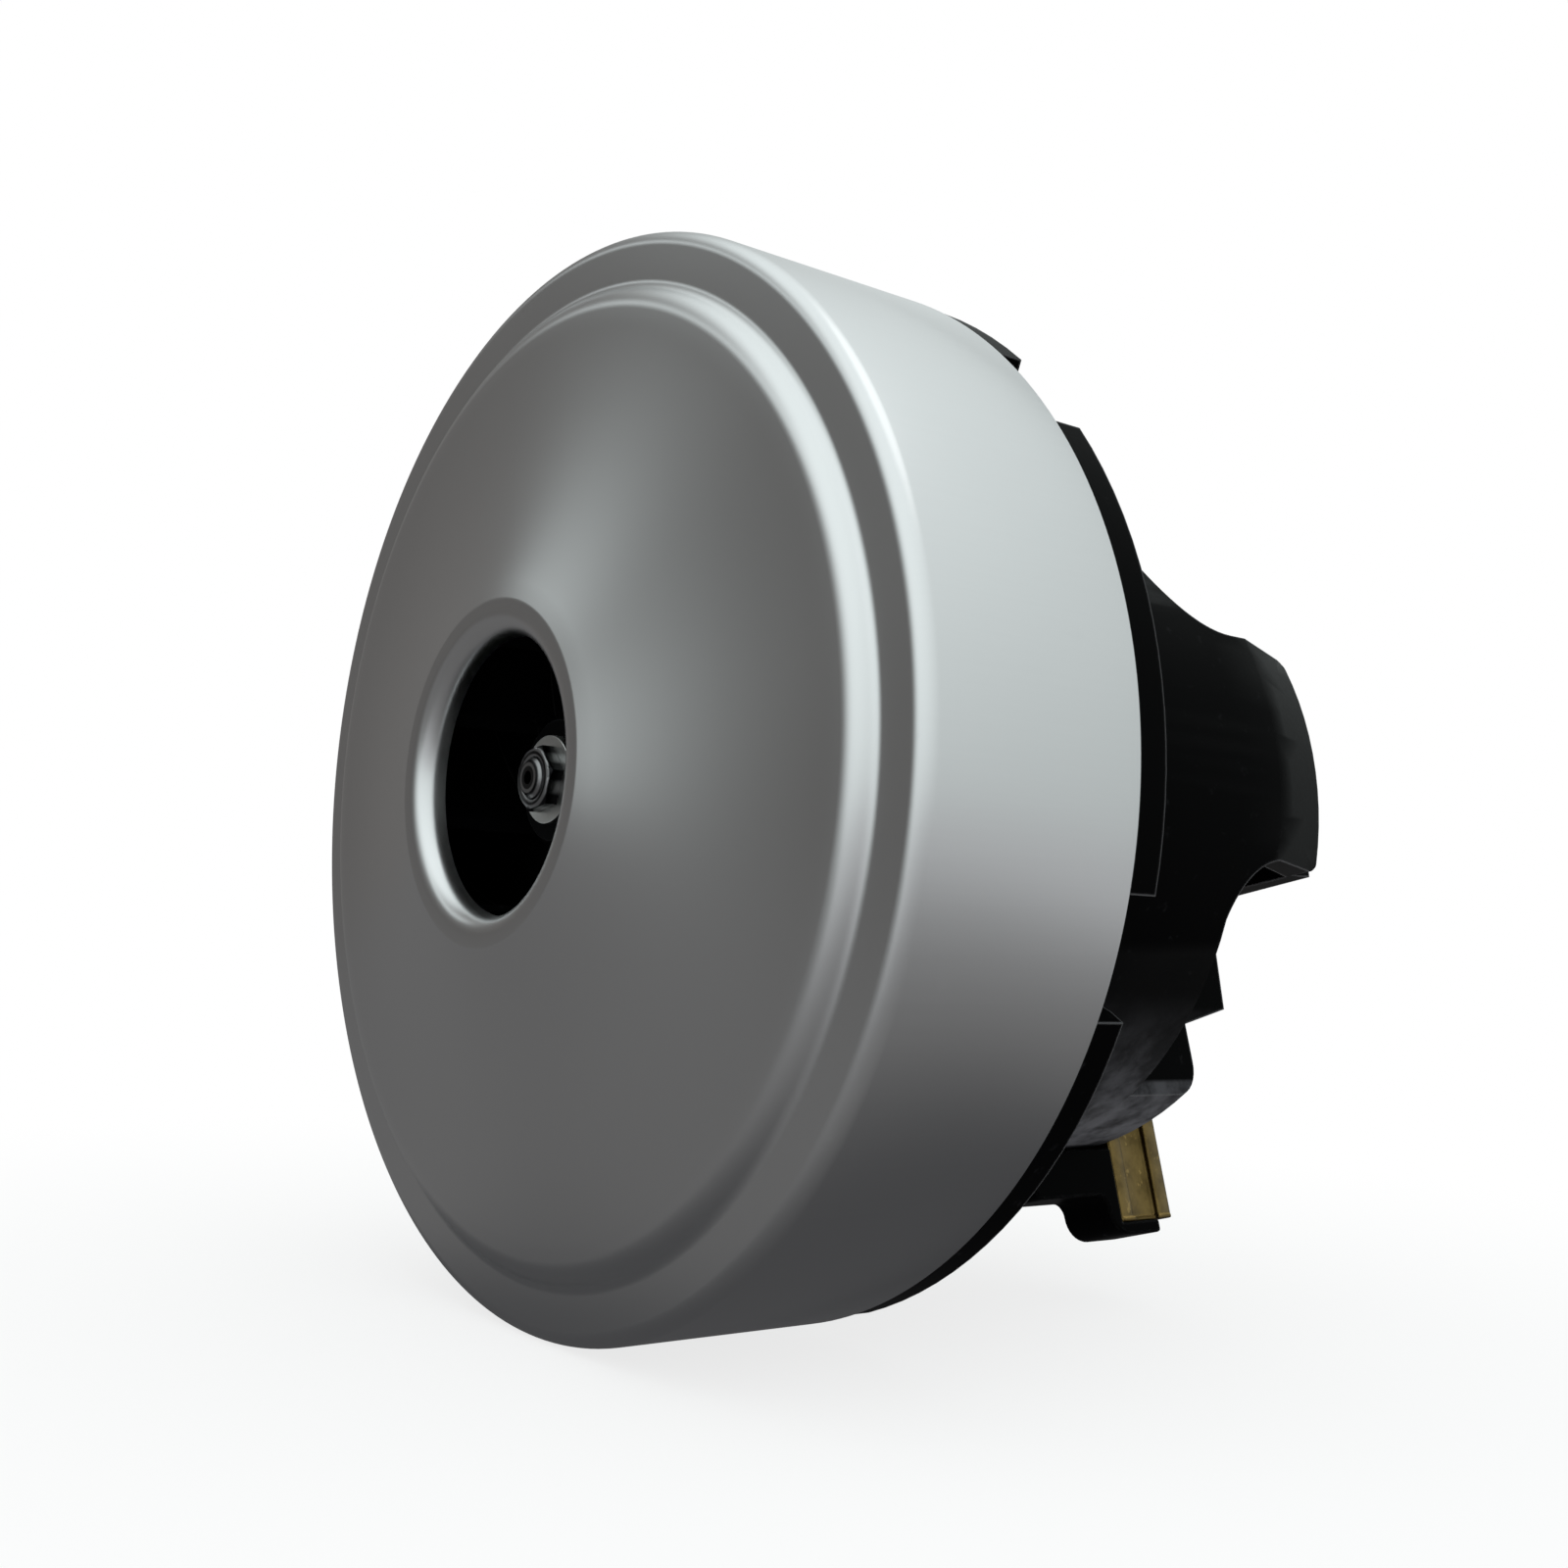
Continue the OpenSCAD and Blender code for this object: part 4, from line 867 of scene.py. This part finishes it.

# %% [markdown]
# Metal shows what stands around it. A light tent surrounds the part with cloth that is brightest high up in front, and
# a dark card hangs inside on the left, which gives the dome its grey. A level slit in the card and the bright side next
# to it show as a soft sheen on the dome's sweep near the inlet. A grey mat under the part glows for reflections only,
# with a painted shadow of the part close by, and is pale farther off on the right, so the skirt falls off downwards.
# The camera sees neither the tent nor the mat, so they stay out of every picture's background, and the tent's cloth
# also lights the part.

# %% Light tent and mat
TENT_RADIUS = 1.6
SLIT_DEPTH = 0.8
DAYLIGHT = (0.93, 1.0, 0.995)
CARD_FRONT = (0.112, 0.107, 0.104)
CARD_BACK = (0.170, 0.163, 0.158)
MAT_PAINTED_SHADOW = (0.080, 0.080, 0.083)
MAT_LEFT = (0.165, 0.163, 0.163)
MAT_RIGHT = (0.56, 0.57, 0.58)

cloth = glowing("tent_cloth")
x, y, z = (axis / TENT_RADIUS for axis in cloth.split(cloth.place()))
lean = cloth.between(z, 0.40, 0.75, 0.0, 0.20)
card = cloth.between(x + lean, 0.14, -0.62) * cloth.between(z, 0.95, 0.70) * cloth.between(y, 0.85, 0.15)
slit = cloth.between(z, 0.44, 0.56) * cloth.between(z, 0.70, 0.56) * cloth.between(y, -0.10, -0.40)
card = card * (1 - slit * SLIT_DEPTH)
card_tone = cloth.mix(cloth.between(y, -0.70, 0.0), CARD_FRONT, CARD_BACK)
level = 0.87 + z * 0.30 - y * 0.20
bright = cloth.mix(level * 0.5, (0.0, 0.0, 0.0), tuple(2.0 * c for c in DAYLIGHT))
cloth.feed(Emission_Color=cloth.mix(card, bright, card_tone))
bm = bmesh.new()
bmesh.ops.create_uvsphere(bm, u_segments=64, v_segments=32, radius=TENT_RADIUS)
tent = stage_piece(bm, "light_tent", cloth)

felt = glowing("mat_felt")
across, away = from_part(felt)
pale = felt.between(away, 0.05, 0.40) * felt.between(across, -0.05, 0.10)
# painted shadow of the part on the mat close by
near = felt.mix(felt.between(away, 0.05, 0.11), MAT_PAINTED_SHADOW, MAT_LEFT)
felt.feed(Emission_Color=felt.mix(pale, near, MAT_RIGHT))
mat = stage_piece(sheet_at(FLOOR_Z - MM), "mat", felt)

tent.visible_camera = False
floor.visible_glossy = False
mat.visible_camera = mat.visible_diffuse = mat.visible_shadow = False
print("tent of", TENT_RADIUS, "m and a mat for the reflections")

# %% End of the scene
print("end of the scene")
